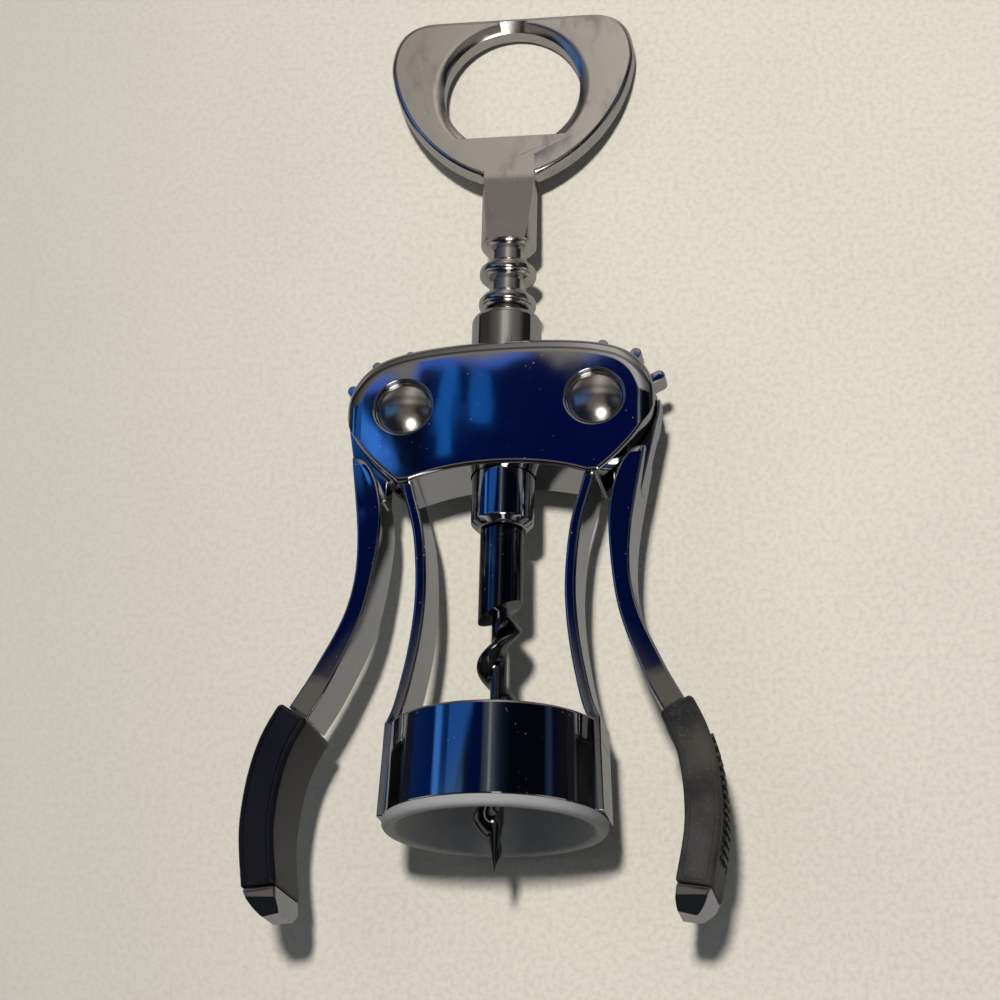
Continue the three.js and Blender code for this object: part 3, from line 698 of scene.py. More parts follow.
def plate_outline():
    """The plates' outline: crown, lobes, flanks down to the arms and the window between them."""
    corner = Vector((CORNER_X, -CORNER_DROP))
    inner = Vector((CORNER_X - ARM_THICKNESS, -CORNER_DROP))
    window = bezier([inner, (CORNER_X / 2, -WINDOW_TOP), (0, -WINDOW_TOP)], 40)
    crown = crown_line(-LOBE_FOOT)
    lead = Vector((-math.sin(math.radians(LOBE_FOOT)), -math.cos(math.radians(LOBE_FOOT))))
    flank = bezier([crown[-1], crown[-1] + lead * FLANK_REACH, corner], 32)
    return mirrored(joined(crown, flank, window))


def crown_outline():
    """The crown and the tops of the lobes, running on below them with straight sides."""
    foot = -CORNER_DROP - OVERRUN
    sides = [Vector((PIVOT + LOBE_RADIUS, foot)), Vector((0, foot))]
    return mirrored(joined(crown_line(0), sides))


casting = plate("casting", plate_outline(), PLATE_DEPTH, PLATE_ROUNDING)
crown = plate("crown", crown_outline(), PLATE_DEPTH, CROWN_ROUNDING, steps=18, fall=CROWN_FALL)
keep(casting, crown)
print("plates:", len(casting.data.polygons), "faces")

# %% [markdown]
# Each arm of the yoke is a thin strap. A smooth line through a few places gives its middle, and
# the strap is set off to both sides of it. The levers are made by the same function.

# %% A strap along a line
SHARE_PRECISION = 1e-5
SHARE_STEP = 1e-3


def path_through(shares, width, drop):
    """A smooth line through shares of a width and of a drop, as a function of 0 to 1.

    Between two knots it is the cubic curve that leaves each one in line with its neighbours.
    """
    knots = [Vector((x * width, -y * drop)) for x, y in shares]

    def point(share):
        reach = (len(knots) - 1) * share
        index = min(int(reach), len(knots) - 2)
        t = reach - index
        p0 = knots[max(index - 1, 0)]
        p1 = knots[index]
        p2 = knots[index + 1]
        p3 = knots[min(index + 2, len(knots) - 1)]
        v0 = (p2 - p0) / 2
        v1 = (p3 - p1) / 2
        cubic = 2 * (p1 - p2) + v0 + v1
        square = 3 * (p2 - p1) - 2 * v0 - v1
        return cubic * t**3 + square * t**2 + v0 * t + p1

    return point


def share_at(path, drop):
    """Where along a falling line it has come down by a given drop."""
    low, high = 0.0, 1.0
    while high - low > SHARE_PRECISION:
        middle = (low + high) / 2
        if path(middle).y > -drop:
            low = middle
        else:
            high = middle
    return low


def beside(path, share, offset):
    """A point set off square to the line; a positive offset lies on its outer side."""
    tangent = path(min(1, share + SHARE_STEP)) - path(max(0, share - SHARE_STEP))
    tangent.normalize()
    return path(share) + Vector((-tangent.y, tangent.x)) * offset


def strap(path, from_drop, to_drop, outer, inner, steps=64):
    """The outline of a strap along the line. outer and inner are widths, as functions of 0 to 1.

    The steps crowd towards both ends, so that a width can fall in a small round corner there.
    """
    start = share_at(path, from_drop)
    end = share_at(path, to_drop)
    outer_side = []
    inner_side = []
    for step in range(steps + 1):
        share = (1 - math.cos(math.pi * step / steps)) / 2
        at = start + (end - start) * share
        outer_side.append(beside(path, at, outer(share)))
        inner_side.append(beside(path, at, -inner(share)))
    return outer_side + inner_side[::-1]


def even(width):
    """Half of a width that stays the same all along a strap."""
    return lambda share: width / 2


print("straps ready")

# %% [markdown]
# The yoke's right-hand arm is a strap cut from plate, and a mirror image of it makes the
# left-hand one. Both swing in below the plates and out again to the bell's rim.

# %% The yoke's arms
bell_low, bell_high = extent("bell_ring")
BELL_TOP = -bell_high.y
FOOT_SPREAD = 18.55
FOOT_LEAN = FOOT_SPREAD / PIVOT - 1
ARM_ROUNDING = 0.5
ARM_SHARES = [
    (0.98, 0.2), (0.91, 0.28), (0.8, 0.41), (0.755, 0.59), (0.8, 0.76), (0.915, 0.93), (1, 1),
]

arm_knots = [(out + FOOT_LEAN * down, down) for out, down in ARM_SHARES]
arm_path = path_through(arm_knots, PIVOT, BELL_TOP)
arm_top = WINDOW_TOP + ARM_THICKNESS / 2
arm_outline = strap(arm_path, arm_top, BELL_TOP, even(ARM_THICKNESS), even(ARM_THICKNESS))
right_arm = plate("right_arm", arm_outline, ARM_DEPTH, ARM_ROUNDING, ladder=True)
left_arm = flipped(right_arm, "left_arm")
print("arms:", len(right_arm.data.polygons), "faces each")

# %% [markdown]
# The yoke's feet sink into the bell's rim. They are the part of the bell's own wall that lies in
# a slot-shaped room, so one wall function makes the bell and the feet, and the two always fit.

# %% The bell's wall and the room of the feet
BELL_WALL = 1.3
CLEARANCE = 0.3
BELL_TOP_RADIUS = 19.5
BELL_MOUTH_RADIUS = 20.3
BELL_EDGE = 0.6
BELL_CHAMFER = (0.1, 0.15)
PAD_EDGE = 0.3
BELL_BOTTOM = bell_low.y
PAD_X = bell_high.x
foot_bottom = casting_low.y
foot_reach = 2 * BELL_TOP_RADIUS


def bell_wall(name, rise):
    """The bell's wall with a flat pad down each side, running on above the rim by a given rise."""
    top = rise - BELL_TOP
    rim_edge = arc((BELL_TOP_RADIUS - BELL_EDGE, top - BELL_EDGE), BELL_EDGE, 0, 90, 8)
    profile = [
        (BELL_TOP_RADIUS - BELL_WALL, top), (BELL_MOUTH_RADIUS - BELL_WALL, BELL_BOTTOM),
        (BELL_MOUTH_RADIUS - BELL_CHAMFER[0], BELL_BOTTOM),
        (BELL_MOUTH_RADIUS, BELL_BOTTOM + BELL_CHAMFER[1]),
        *[tuple(point) for point in rim_edge],
    ]
    pad_top = BELL_TOP_RADIUS + PAD_X - BELL_MOUTH_RADIUS
    outline = [
        Vector((pad_top, top - BELL_EDGE)), Vector((-pad_top, top - BELL_EDGE)),
        Vector((-PAD_X, BELL_BOTTOM)), Vector((PAD_X, BELL_BOTTOM)),
    ]
    hollow = [
        (0, OVERRUN - BELL_TOP), (0, BELL_BOTTOM - OVERRUN),
        (BELL_MOUTH_RADIUS - BELL_WALL / 2, BELL_BOTTOM - OVERRUN),
        (BELL_TOP_RADIUS - BELL_WALL / 2, OVERRUN - BELL_TOP),
    ]
    pads = cut(plate("pads", outline, ARM_DEPTH, PAD_EDGE), lathe("hollow", hollow, steps=96))
    return join(lathe(name, profile, steps=192), pads)


def foot_room(gap):
    """The room of the yoke's two feet in the bell's rim, with a gap round it."""
    low = (-foot_reach, foot_bottom - gap, -ARM_DEPTH / 2 - gap)
    high = (foot_reach, ARM_THICKNESS / 2 - BELL_TOP + gap, ARM_DEPTH / 2 + gap)
    radius = BELL_TOP_RADIUS - BELL_WALL - gap
    inside = [
        (0, low[1] - OVERRUN), (radius, low[1] - OVERRUN),
        (radius, high[1] + OVERRUN), (0, high[1] + OVERRUN),
    ]
    return cut(block("foot_room", low, high), lathe("inside", inside, steps=160))


print("bell's wall:", BELL_WALL, "mm")

# %% [markdown]
# The feet are cut from that wall where it runs on above the rim. The neck, which guides the rack,
# is turned with a rounded top edge.

# %% The feet and the neck
NECK_RADIUS = 6.8
NECK_ROUNDING = 1.6

feet = keep(bell_wall("feet", ARM_THICKNESS / 2), foot_room(0))
neck_top = casting_high.y
neck_edge = arc((NECK_RADIUS - NECK_ROUNDING, neck_top - NECK_ROUNDING), NECK_ROUNDING, 0, 62, 10)
neck_profile = [(0, 0), (NECK_RADIUS, 0), *[tuple(point) for point in neck_edge]]
neck = lathe("neck", neck_profile + [(0, neck_edge[-1].y)])
join(casting, right_arm, left_arm, feet, neck)
print("casting joined:", len(casting.data.polygons), "faces")

# %% [markdown]
# Now the casting is cut: a slot for each gear, a hole for each rivet with a round recess for its
# head, and the channel that the rack and the collar slide in. The recess is turned, so that its
# edge is rounded twice: inwards at its floor and outwards at the plate's face.

# %% The casting's slots, recesses and channel
SLOT_DEPTH = extent("right_front_washer")[1].z + CLEARANCE
TIP_CLEARANCE = 0.25
SLOT_RADIUS = GEAR_TIP + TIP_CLEARANCE
SLOT_EXIT_X = 30
SLOT_EXIT_DROP = 18
PIN_HOLE = 2.9
RECESS_RADIUS = 5.65
RECESS_DEPTH = 1.2
RECESS_ROUNDING = 0.3
CHANNEL_RADIUS = 6.2
NECK_BORE = 5.85
QUARTER_TURN = (0, 0.4, 0.8, 1.2, math.pi / 2)

face = PLATE_DEPTH / 2
floor = face - RECESS_DEPTH
bends = [(RECESS_ROUNDING * (1 - math.sin(turn)), RECESS_ROUNDING * (1 - math.cos(turn)))
         for turn in QUARTER_TURN]
recess_edge = [
    (0, floor),
    *[(RECESS_RADIUS - out, floor + rise) for out, rise in bends],
    *[(RECESS_RADIUS + rise, face - out) for out, rise in bends],
    (RECESS_RADIUS + RECESS_ROUNDING, face + OVERRUN), (0, face + OVERRUN),
]
for side in (-1, 1):
    hinge = (side * PIVOT, 0, 0)
    near, far = sorted((side * CORNER_X, side * SLOT_EXIT_X))
    exit_low = (near, -SLOT_EXIT_DROP, -SLOT_DEPTH)
    exit_high = (far, -WINDOW_TOP, SLOT_DEPTH)
    cut(
        casting,
        rod("slot", SLOT_RADIUS, -SLOT_DEPTH, SLOT_DEPTH, hinge),
        block("slot_exit", exit_low, exit_high),
        rod("hole", PIN_HOLE, -PLATE_DEPTH, PLATE_DEPTH, hinge, steps=64),
    )
    for facing in (1, -1):
        profile = [(radius, facing * height) for radius, height in recess_edge]
        cut(casting, moved(lathe("recess", profile, along_z=True), at=hinge))
channel_end = LOBE_RADIUS - CHANNEL_RADIUS
channel_profile = [
    (0, -WINDOW_TOP - OVERRUN), (CHANNEL_RADIUS, -WINDOW_TOP - OVERRUN),
    (CHANNEL_RADIUS, channel_end), (NECK_BORE, channel_end),
    (NECK_BORE, neck_top + OVERRUN), (0, neck_top + OVERRUN),
]
cut(casting, lathe("channel", channel_profile))
lay_down(casting, "frame", "chrome_plate", bright_chrome, "frame_casting")
print("casting:", len(casting.data.polygons), "faces")

# %% [markdown]
# ## The bell and its liner
#
# The bell is the chromed ring that goes over the bottle's mouth. It widens slightly towards its
# own mouth and has a flat pad down each side, in line with the yoke's arms. The wall is turned by
# the function above, and the room of the yoke's feet is cut out of its rim.

# %% The bell
bell = cut(bell_wall("bell", 0), foot_room(CLEARANCE / 6))
lay_down(bell, "frame", "chrome_plate", turned_chrome, "bell_ring")
print("bell:", len(bell.data.polygons), "faces")

# %% [markdown]
# The liner is a plastic cup, turned like the bell. Its lip rolls over the bell's edge. Inside, a
# cone centres the bottle, a step seats its mouth, and a narrower passage above lets the cork
# rise.

# %% The liner
liner_low, liner_high = extent("bell_liner")
LINER_MOUTH = 17.8
LINER_SEAT = 15.2
SEAT_DEPTH = 10.6
SEAT_CHAMFER = 0.4
CORK_PASSAGE = 12.2
PASSAGE_CHAMFER = 0.5
LIP_ROUNDING = 1.0

mouth = liner_low.y
liner_top = liner_high.y
seat = mouth + SEAT_DEPTH
lip_top = BELL_BOTTOM - CLEARANCE / 2
lip_middle = mouth + LIP_ROUNDING
bell_narrows = BELL_MOUTH_RADIUS - BELL_TOP_RADIUS
outer_wall = BELL_MOUTH_RADIUS - BELL_WALL - CLEARANCE
top_wall = outer_wall - bell_narrows * (liner_top - lip_top) / (-BELL_TOP - BELL_BOTTOM)
inner_lip = arc((LINER_MOUTH + LIP_ROUNDING, lip_middle), LIP_ROUNDING, 190, 270, 10)
outer_lip = arc((BELL_MOUTH_RADIUS - LIP_ROUNDING, lip_middle), LIP_ROUNDING, 270, 360, 10)
liner_profile = [
    (CORK_PASSAGE, liner_top), (CORK_PASSAGE, seat + PASSAGE_CHAMFER),
    (CORK_PASSAGE + PASSAGE_CHAMFER, seat), (LINER_SEAT - SEAT_CHAMFER, seat),
    (LINER_SEAT, seat - SEAT_CHAMFER),
    *[tuple(point) for point in inner_lip + outer_lip],
    (BELL_MOUTH_RADIUS, lip_top), (outer_wall, lip_top), (top_wall, liner_top),
]
liner = lathe("liner", liner_profile, steps=192)
lay_down(liner, "frame", "liner_plastic", pale_liner, "bell_liner")
print("liner:", len(liner.data.polygons), "faces")

# %% [markdown]
# ## Rivets and washers
#
# Each lever turns on a rivet. Its domed front head can be seen, and a cap of the same form closes
# its rear end. Both are turned from one profile. The washers beside the gear are hidden between
# the plates, but a low view through the slot can catch them.

# %% Rivets and washers
PIN_RADIUS = 2.6
PIN_TAIL_RADIUS = 1.5
CAP_BORE = 1.6
CAP_WALL = 0.05
HEAD_CHAMFER = 0.15
WASHER_CHAMFER = 0.1


def dome(radius, height, base, steps=14):
    """A domed head's profile from edge to middle. A fifth of its height is a straight side."""
    side = height / 5
    rise = height - side
    sphere = (radius * radius + rise * rise) / (2 * rise)
    half = math.asin(radius / sphere)
    points = [(radius - HEAD_CHAMFER, base), (radius, base + HEAD_CHAMFER), (radius, base + side)]
    for step in range(1, steps + 1):
        angle = half * (1 - step / steps)
        crown_rise = sphere * (math.cos(angle) - math.cos(half))
        points.append((sphere * math.sin(angle), base + side + crown_rise))
    return points


laid_before = len(pieces)
for word, side in (("left", -1), ("right", 1)):
    hinge = (side * PIVOT, 0, 0)
    pin_low, pin_high = extent(word + "_pivot_pin")
    head_radius = (pin_high.x - pin_low.x) / 2
    head_base = floor + CLEARANCE / 3
    head_profile = dome(head_radius, pin_high.z - head_base, head_base)
    pin_profile = [
        (0, pin_low.z), (PIN_TAIL_RADIUS, pin_low.z), (PIN_TAIL_RADIUS, -floor),
        (PIN_RADIUS, -floor), (PIN_RADIUS, head_base), *head_profile,
    ]
    blind = pin_low.z - CAP_WALL
    cap_profile = [
        (CAP_BORE, -head_base), *[(radius, -height) for radius, height in head_profile],
        (0, blind), (CAP_BORE, blind),
    ]
    turned_pieces = [
        (word + "_rivet", word + "_pivot_pin", pin_profile),
        (word + "_rivet_cap", word + "_pin_cap", cap_profile),
    ]
    for name, node, profile in turned_pieces:
        rivet = moved(lathe(name, profile, steps=96, along_z=True), at=hinge)
        lay_down(rivet, "frame", "rivet_steel", rivet_steel, node)
    for place in ("front", "rear"):
        node = f"{word}_{place}_washer"
        low, high = extent(node)
        radius = (high.x - low.x) / 2
        rim = radius - WASHER_CHAMFER
        profile = [
            (PIN_HOLE, low.z), (rim, low.z), (radius, low.z + WASHER_CHAMFER),
            (radius, high.z - WASHER_CHAMFER), (rim, high.z), (PIN_HOLE, high.z),
        ]
        washer = lathe(node.replace("washer", "spacer"), profile, steps=72, along_z=True)
        lay_down(moved(washer, at=hinge), "frame", "washer_plastic", white_washer, node)
print("rivets, caps and washers:", len(pieces) - laid_before)

# %% [markdown]
# ## The levers
#
# A lever starts as a gear between the plates. A lug leads out of the slot into the arm, which
# narrows to a waist, widens again and ends under the grip. Past the grip, the casting shows once
# more as a faceted tip. All these forms share one curved line, so that a change of the curve
# moves the arm, the grip and the tip together.

# %% The lever's line
LEVER_REACH = 21.5
LEVER_LENGTH = 96.8
LEVER_SHARES = [
    (0.33, 0.085), (0.253, 0.265), (0.32, 0.4135), (0.568, 0.548),
    (0.9, 0.6875), (1, 0.827), (0.937, 0.951), (0.9, 1),
]
TOP_WIDTH = 5.4
WAIST_WIDTH = 3.2
END_WIDTH = 4.1
WAIST_SHARE = 0.48
GRIP_TOP = 60
GRIP_END = 92.4

lever_path = path_through(LEVER_SHARES, LEVER_REACH, LEVER_LENGTH)


def blend(start, end, share):
    """From one number to another with a soft start and a soft end."""
    share = min(1, max(0, share))
    return start + (end - start) * share * share * (3 - 2 * share)


def half_width(share):
    """Half of the arm's width, from its top at 0 to the grip at 1."""
    to_waist = blend(TOP_WIDTH, WAIST_WIDTH, share / WAIST_SHARE)
    return blend(to_waist, END_WIDTH, (share - WAIST_SHARE) / (1 - WAIST_SHARE)) / 2


print("the arm is", round(2 * half_width(WAIST_SHARE), 2), "mm wide at its waist")

# %% [markdown]
# The gear's teeth are fingers with round ends, because they roll in the grooves between the
# rack's rings. Only the teeth that can reach the rack are cast. The lug is a wedge between the
# gear and the arm, thin enough for the slot.

# %% A tooth and the lug
TEETH_PER_TURN = 12
TEETH_CAST = range(-1, 6)
RACK_PITCH = 6.7
MESH_LIFT = 0.5
TOOTH_WIDTH = 2.1
ROOT_RADIUS = 11.2
GEAR_THICKNESS = 4.8
GEAR_EDGE = 0.25
LUG_RADIUS = 11.8
LUG_DROP = 17.4


def tooth(angle):
    """A finger with a round end, from the gear's middle out to its tip."""
    half = TOOTH_WIDTH / 2
    end = arc((GEAR_TIP - half, 0), half, -90, 90, 16)
    outline = joined([Vector((0, -half))], end, [Vector((0, half))])
    return moved(plate("tooth", outline, GEAR_THICKNESS, GEAR_EDGE, steps=3), math.radians(angle))


def lug():
    """The wedge of metal that leads from the gear out into the arm."""
    middle = lever_path(share_at(lever_path, LUG_DROP))
    inner = middle.x - half_width(0)
    outline = [
        Vector((LUG_RADIUS, -TOOTH_WIDTH / 2)),
        Vector((middle.x + half_width(0), middle.y)),
        Vector((inner, middle.y)),
        Vector((inner, -math.sqrt(GEAR_TIP**2 - inner**2))),
        Vector((-TOOTH_WIDTH / 2, TOOTH_WIDTH / 2 - ROOT_RADIUS)),
        Vector((0, 0)),
        Vector((LUG_RADIUS, TOOTH_WIDTH / 2)),
    ]
    return plate("lug", outline, GEAR_THICKNESS, GEAR_EDGE, steps=3)


print("teeth:", len(TEETH_CAST), "of", TEETH_PER_TURN)

# %% [markdown]
# The arm is a strap of changing width. Its front isn't quite flat: it swells towards the grip and
# falls away again just above it. Tilting the front's own points is enough for that.

# %% The arm
LEVER_DEPTH = 12
ARM_EDGE = 0.45
SHOULDER_DROP = 9.5
SHOULDER_LENGTH = 12
SHOULDER_TUCK = 0.9
SWELL_DROP = 20
SWELL_SLOPE = 0.006
FACET_DROP = 54
FACET_SLOPE = 0.021


def arm():
    """The arm starts in a shoulder: its inner side curves out from the outer top corner.

    Its front swells a little on the way down and falls away in a facet above the grip.
    """
    shoulder_share = SHOULDER_LENGTH / (GRIP_TOP - SHOULDER_DROP)

    def inner(share):
        left = max(0, 1 - share / shoulder_share)
        return half_width(share) * (2 * math.sqrt(1 - left * left) - SHOULDER_TUCK)

    outline = strap(lever_path, SHOULDER_DROP, GRIP_TOP, half_width, inner, steps=110)
    obj = plate("arm", outline, LEVER_DEPTH, ARM_EDGE, ladder=True)
    for vertex in obj.data.vertices:
        if vertex.co.z > 0:
            swell = min(max(-vertex.co.y - SWELL_DROP, 0), FACET_DROP - SWELL_DROP)
            facet = max(-vertex.co.y - FACET_DROP, 0)
            vertex.co.z += swell * SWELL_SLOPE - facet * FACET_SLOPE
    return obj


print("the arm swells by", round((FACET_DROP - SWELL_DROP) * SWELL_SLOPE, 2), "mm")

# %% [markdown]
# The tip is a last piece of strap whose end is planed off at the front and the back, as a fettled
# casting is. Two wedges do the planing.

# %% The tip
GRIP_DEPTH = extent("right_grip")[1].z * 2
TIP_WIDTH = 6
TIP_DEPTH = extent("right_lever")[1].z * 2
TIP_EDGE = 0.5
TIP_BEVEL_LENGTH = 2.6
TIP_BEVEL_DEPTH = 4
TIP_INNER_SHARE = 0.8
TIP_OUTER_SHARE = 0.3


def tip():
    """The faceted end past the grip. Its sides narrow, and a bevel thins its front and back."""
    outline = strap(
        lever_path, GRIP_END + CLEARANCE, LEVER_LENGTH,
        lambda share: TIP_WIDTH / 2 * (1 - (1 - TIP_OUTER_SHARE) * share),
        lambda share: TIP_WIDTH / 2 * (1 - (1 - TIP_INNER_SHARE) * share * share), steps=24,
    )
    obj = plate("tip", outline, TIP_DEPTH, TIP_EDGE, ladder=True)
    end = lever_path(1)
    slope = math.atan2(TIP_BEVEL_DEPTH, TIP_BEVEL_LENGTH)
    for side in (-1, 1):
        base = -GRIP_DEPTH if side < 0 else 0
        low = (-GRIP_DEPTH, -GRIP_DEPTH, base)
        high = (GRIP_DEPTH, GRIP_DEPTH, base + GRIP_DEPTH)
        bevel_foot = (end.x, end.y, side * (TIP_DEPTH / 2 - TIP_BEVEL_DEPTH))
        cut(obj, moved(block("wedge", low, high), side * slope, "X", bevel_foot))
    return obj


print("tip:", round(TIP_DEPTH, 2), "mm deep")

# %% [markdown]
# On the real tool all of this is one casting, so the forms are joined into one mesh. A tongue
# runs on through the grip, and the rivet's bore is drilled last, through the gear.

# %% The right-hand lever
TONGUE_WIDTH = 3
TONGUE_DEPTH = 11

lever = rod("right_lever_casting", ROOT_RADIUS, -GEAR_THICKNESS / 2, GEAR_THICKNESS / 2)
pitch_radius = TEETH_PER_TURN * RACK_PITCH / (2 * math.pi)
mesh_angle = 180 - math.degrees(math.atan2(MESH_LIFT, pitch_radius))
for index in TEETH_CAST:
    join(lever, tooth(mesh_angle - index * 360 / TEETH_PER_TURN))
tongue_top = GRIP_TOP - TONGUE_WIDTH
tongue_end = GRIP_END + TONGUE_WIDTH
tongue_side = even(TONGUE_WIDTH)
tongue_outline = strap(lever_path, tongue_top, tongue_end, tongue_side, tongue_side, steps=32)
join(lever, lug(), arm(), plate("tongue", tongue_outline, TONGUE_DEPTH, ladder=True), tip())
cut(lever, rod("bore", PIN_HOLE, -GEAR_THICKNESS, GEAR_THICKNESS, steps=64))
print("lever:", len(lever.data.polygons), "faces")

# %% [markdown]
# ## The grips
#
# Each grip is a black sleeve that follows the lever's curve. Two fine grooves run along its front
# and its back, just inside the long edges. The sleeve is hollow: the lever's tongue fills it, as
# a moulded grip is held on.

# %% The right-hand grip
GRIP_WIDTH = 6.5
GRIP_ROUNDING = 1.1
GRIP_CORNER = 0.8
GROOVE_INSET = 1.15
GROOVE_WIDTH = 0.28
GROOVE_DEPTH = 0.3


def grip_half_width(share):
    """Half of the grip's width, which falls in a quarter circle at both ends."""
    from_end = min(share, 1 - share) * (GRIP_END - GRIP_TOP)
    left = max(0, 1 - from_end / GRIP_CORNER)
    return GRIP_WIDTH / 2 - GRIP_CORNER * (1 - math.sqrt(1 - left * left))


grip_outline = strap(
    lever_path, GRIP_TOP + CLEARANCE, GRIP_END, grip_half_width, grip_half_width, steps=80,
)
grip = plate("right_grip_sleeve", grip_outline, GRIP_DEPTH, GRIP_ROUNDING, steps=8, ladder=True)
hollow_side = even(TONGUE_WIDTH + 2 * CLEARANCE)
hollow_outline = strap(
    lever_path, GRIP_TOP - OVERRUN, GRIP_END + OVERRUN / 2, hollow_side, hollow_side, steps=32,
)
cut(grip, plate("hollow", hollow_outline, TONGUE_DEPTH + 2 * CLEARANCE, ladder=True))
for edge in (-1, 1):
    middle = edge * (GRIP_WIDTH / 2 - GROOVE_INSET)
    groove = strap(
        lever_path, GRIP_TOP - OVERRUN / 4, GRIP_END + OVERRUN / 4,
        lambda share: middle + GROOVE_WIDTH / 2, lambda share: GROOVE_WIDTH / 2 - middle, steps=48,
    )
    for face_side in (-1, 1):
        height = face_side * GRIP_DEPTH / 2
        cut(grip, plate("groove", groove, 2 * GROOVE_DEPTH, middle=height, ladder=True))
print("grip:", len(grip.data.polygons), "faces before the pad's seat")

# %% [markdown]
# A ribbed pad is let into the grip's outer side, where the palm presses. Its seat is the same
# outline with a gap round it. The ribs are short bars set square to the lever's line and joined
# to the pad.

# %% The ribbed pad
PAD_START = 65.5
PAD_END = 87
PAD_DEPTH = extent("right_grip_rib_pad")[1].z * 2
PAD_SINK = 0.7
PAD_PROUD = 0.6
PAD_ROUNDING = 0.25
RIB_COUNT = 14
RIB_HEIGHT = 0.6
RIB_LENGTH = 7.5
RIB_ROUNDING = 0.2


def pad_outline(gap):
    """The pad's outline along the grip's outer side, with a gap round it."""
    outer = GRIP_WIDTH / 2 - PAD_SINK + PAD_PROUD + gap
    inner = gap - (GRIP_WIDTH / 2 - PAD_SINK)
    start = PAD_START - gap
    return strap(lever_path, start, PAD_END + gap, lambda share: outer, lambda share: inner)


cut(grip, plate("pad_seat", pad_outline(CLEARANCE / 3), PAD_DEPTH + CLEARANCE / 1.5, ladder=True))
pad = plate("right_grip_ribs", pad_outline(0), PAD_DEPTH, PAD_ROUNDING, steps=3, ladder=True)
pad_start = share_at(lever_path, PAD_START)
pad_end = share_at(lever_path, PAD_END)
rib_width = (PAD_END - PAD_START) / RIB_COUNT / 2
for index in range(RIB_COUNT):
    at = pad_start + (pad_end - pad_start) * (index + 0.5) / RIB_COUNT
    foot = beside(lever_path, at, GRIP_WIDTH / 2 - PAD_SINK + PAD_PROUD)
    side = (foot - lever_path(at)).normalized()
    rib_outline = rectangle((-RIB_HEIGHT, -rib_width / 2), (RIB_HEIGHT, rib_width / 2))
    rib = plate("rib", rib_outline, RIB_LENGTH, RIB_ROUNDING, steps=3)
    join(pad, moved(rib, math.atan2(side.y, side.x), at=(foot.x, foot.y, 0)))
print("grip:", len(grip.data.polygons), "faces, pad:", len(pad.data.polygons))

# %% [markdown]
# The left-hand lever is the right-hand one in a mirror, as it is on the real tool. Then both lean
# to the left.

# %% Both sides
right_pieces = [
    (lever, "lever_casting", "_lever", "chrome_plate", bright_chrome),
    (grip, "grip_sleeve", "_grip", "black_grip", black_grip),
    (pad, "grip_ribs", "_grip_rib_pad", "black_grip", black_grip),
]
lean = Matrix.Rotation(-REST_TURN, 4, "Z")
for obj, label, node, slot_name, finish in right_pieces:
    other = flipped(obj, "left_" + label)
    obj.data.transform(Matrix.Translation((PIVOT, 0, 0)) @ lean)
    other.data.transform(Matrix.Translation((-PIVOT, 0, 0)) @ lean)
    lay_down(obj, "right_lever_arm", slot_name, finish, "right" + node)
    lay_down(other, "left_lever_arm", slot_name, finish, "left" + node)
print("pieces so far:", len(pieces))

# %% [markdown]
# ## The opener handle
#
# The head, its flat stem and the ring rack are one casting. The rack and the round stem are
# turned in one profile: six rings, whose S-shaped flanks leave room for the gears' round fingers.

# %% The rack and the stem
handle_low, handle_high = extent("opener_handle")
RING_COUNT = 6
RING_RADIUS = 5.6
RING_TIP_THICKNESS = 1.7
RING_ROOT_THICKNESS = 4.4
RING_SHOULDER_RADIUS = 4.9
RING_TIP_ROUNDING = 0.5
RING_TIP_FALL = 0.2
RING_ROOT_BEND = (0.4, 0.25)
RING_ROOT_LEAN = 1.3
RACK_CHAMFER = 0.2
PROFILE_GAP = 1e-3
CORE_RADIUS = 3.6
STEM_RADIUS = 5.5
STEM_LENGTH = 14.9
STEM_FOOT_THICKNESS = 8.2
HEAD_THICKNESS = 4.4
SPIGOT_RADIUS = 2.6

ring_height = [MESH_LIFT + (index - 0.5) * RACK_PITCH for index in range(RING_COUNT + 1)]
head_base = ring_height[-1] + STEM_LENGTH
bore_radius = SPIGOT_RADIUS + CLEARANCE
spigot_top = extent("worm")[1].y


def ring_flank(radius, below):
    """Half of a ring's edge: up from the groove in an S, then over the rounded tip."""
    root = RING_ROOT_THICKNESS / 2
    tip_half = RING_TIP_THICKNESS / 2
    bend = (CORE_RADIUS + RING_ROOT_BEND[0], -root + RING_ROOT_BEND[1])
    corner = (radius - RING_TIP_ROUNDING, -tip_half - RING_TIP_FALL)
    shoulder = (RING_SHOULDER_RADIUS, -root / RING_ROOT_LEAN)
    flank = bezier([(CORE_RADIUS, -root), bend, shoulder, corner], 6)
    edge = bezier([corner, (radius, -tip_half), (radius, -tip_half / 2), (radius, 0)], 6)
    points = joined(flank, edge)
    return points if below else [Vector((point.x, -point.y)) for point in reversed(points)]


rack_profile = [
    (bore_radius, handle_low.y), (CORE_RADIUS - RACK_CHAMFER, handle_low.y),
    (CORE_RADIUS, handle_low.y + RACK_CHAMFER),
]
for height in ring_height[:-1]:
    for below in (True, False):
        rack_profile += [(point.x, point.y + height) for point in ring_flank(RING_RADIUS, below)]
rack_profile += [(point.x, point.y + ring_height[-1]) for point in ring_flank(STEM_RADIUS, True)]
rack_profile += [
    (STEM_RADIUS, head_base + HEAD_THICKNESS), (0, head_base + HEAD_THICKNESS),
    (0, spigot_top + CLEARANCE), (bore_radius, spigot_top + CLEARANCE),
]
clean_profile = [rack_profile[0]]
for point in rack_profile[1:]:
    if math.dist(point, clean_profile[-1]) > PROFILE_GAP:
        clean_profile.append(point)
handle = lathe("opener", clean_profile)
print("rack:", len(clean_profile), "points in its profile")

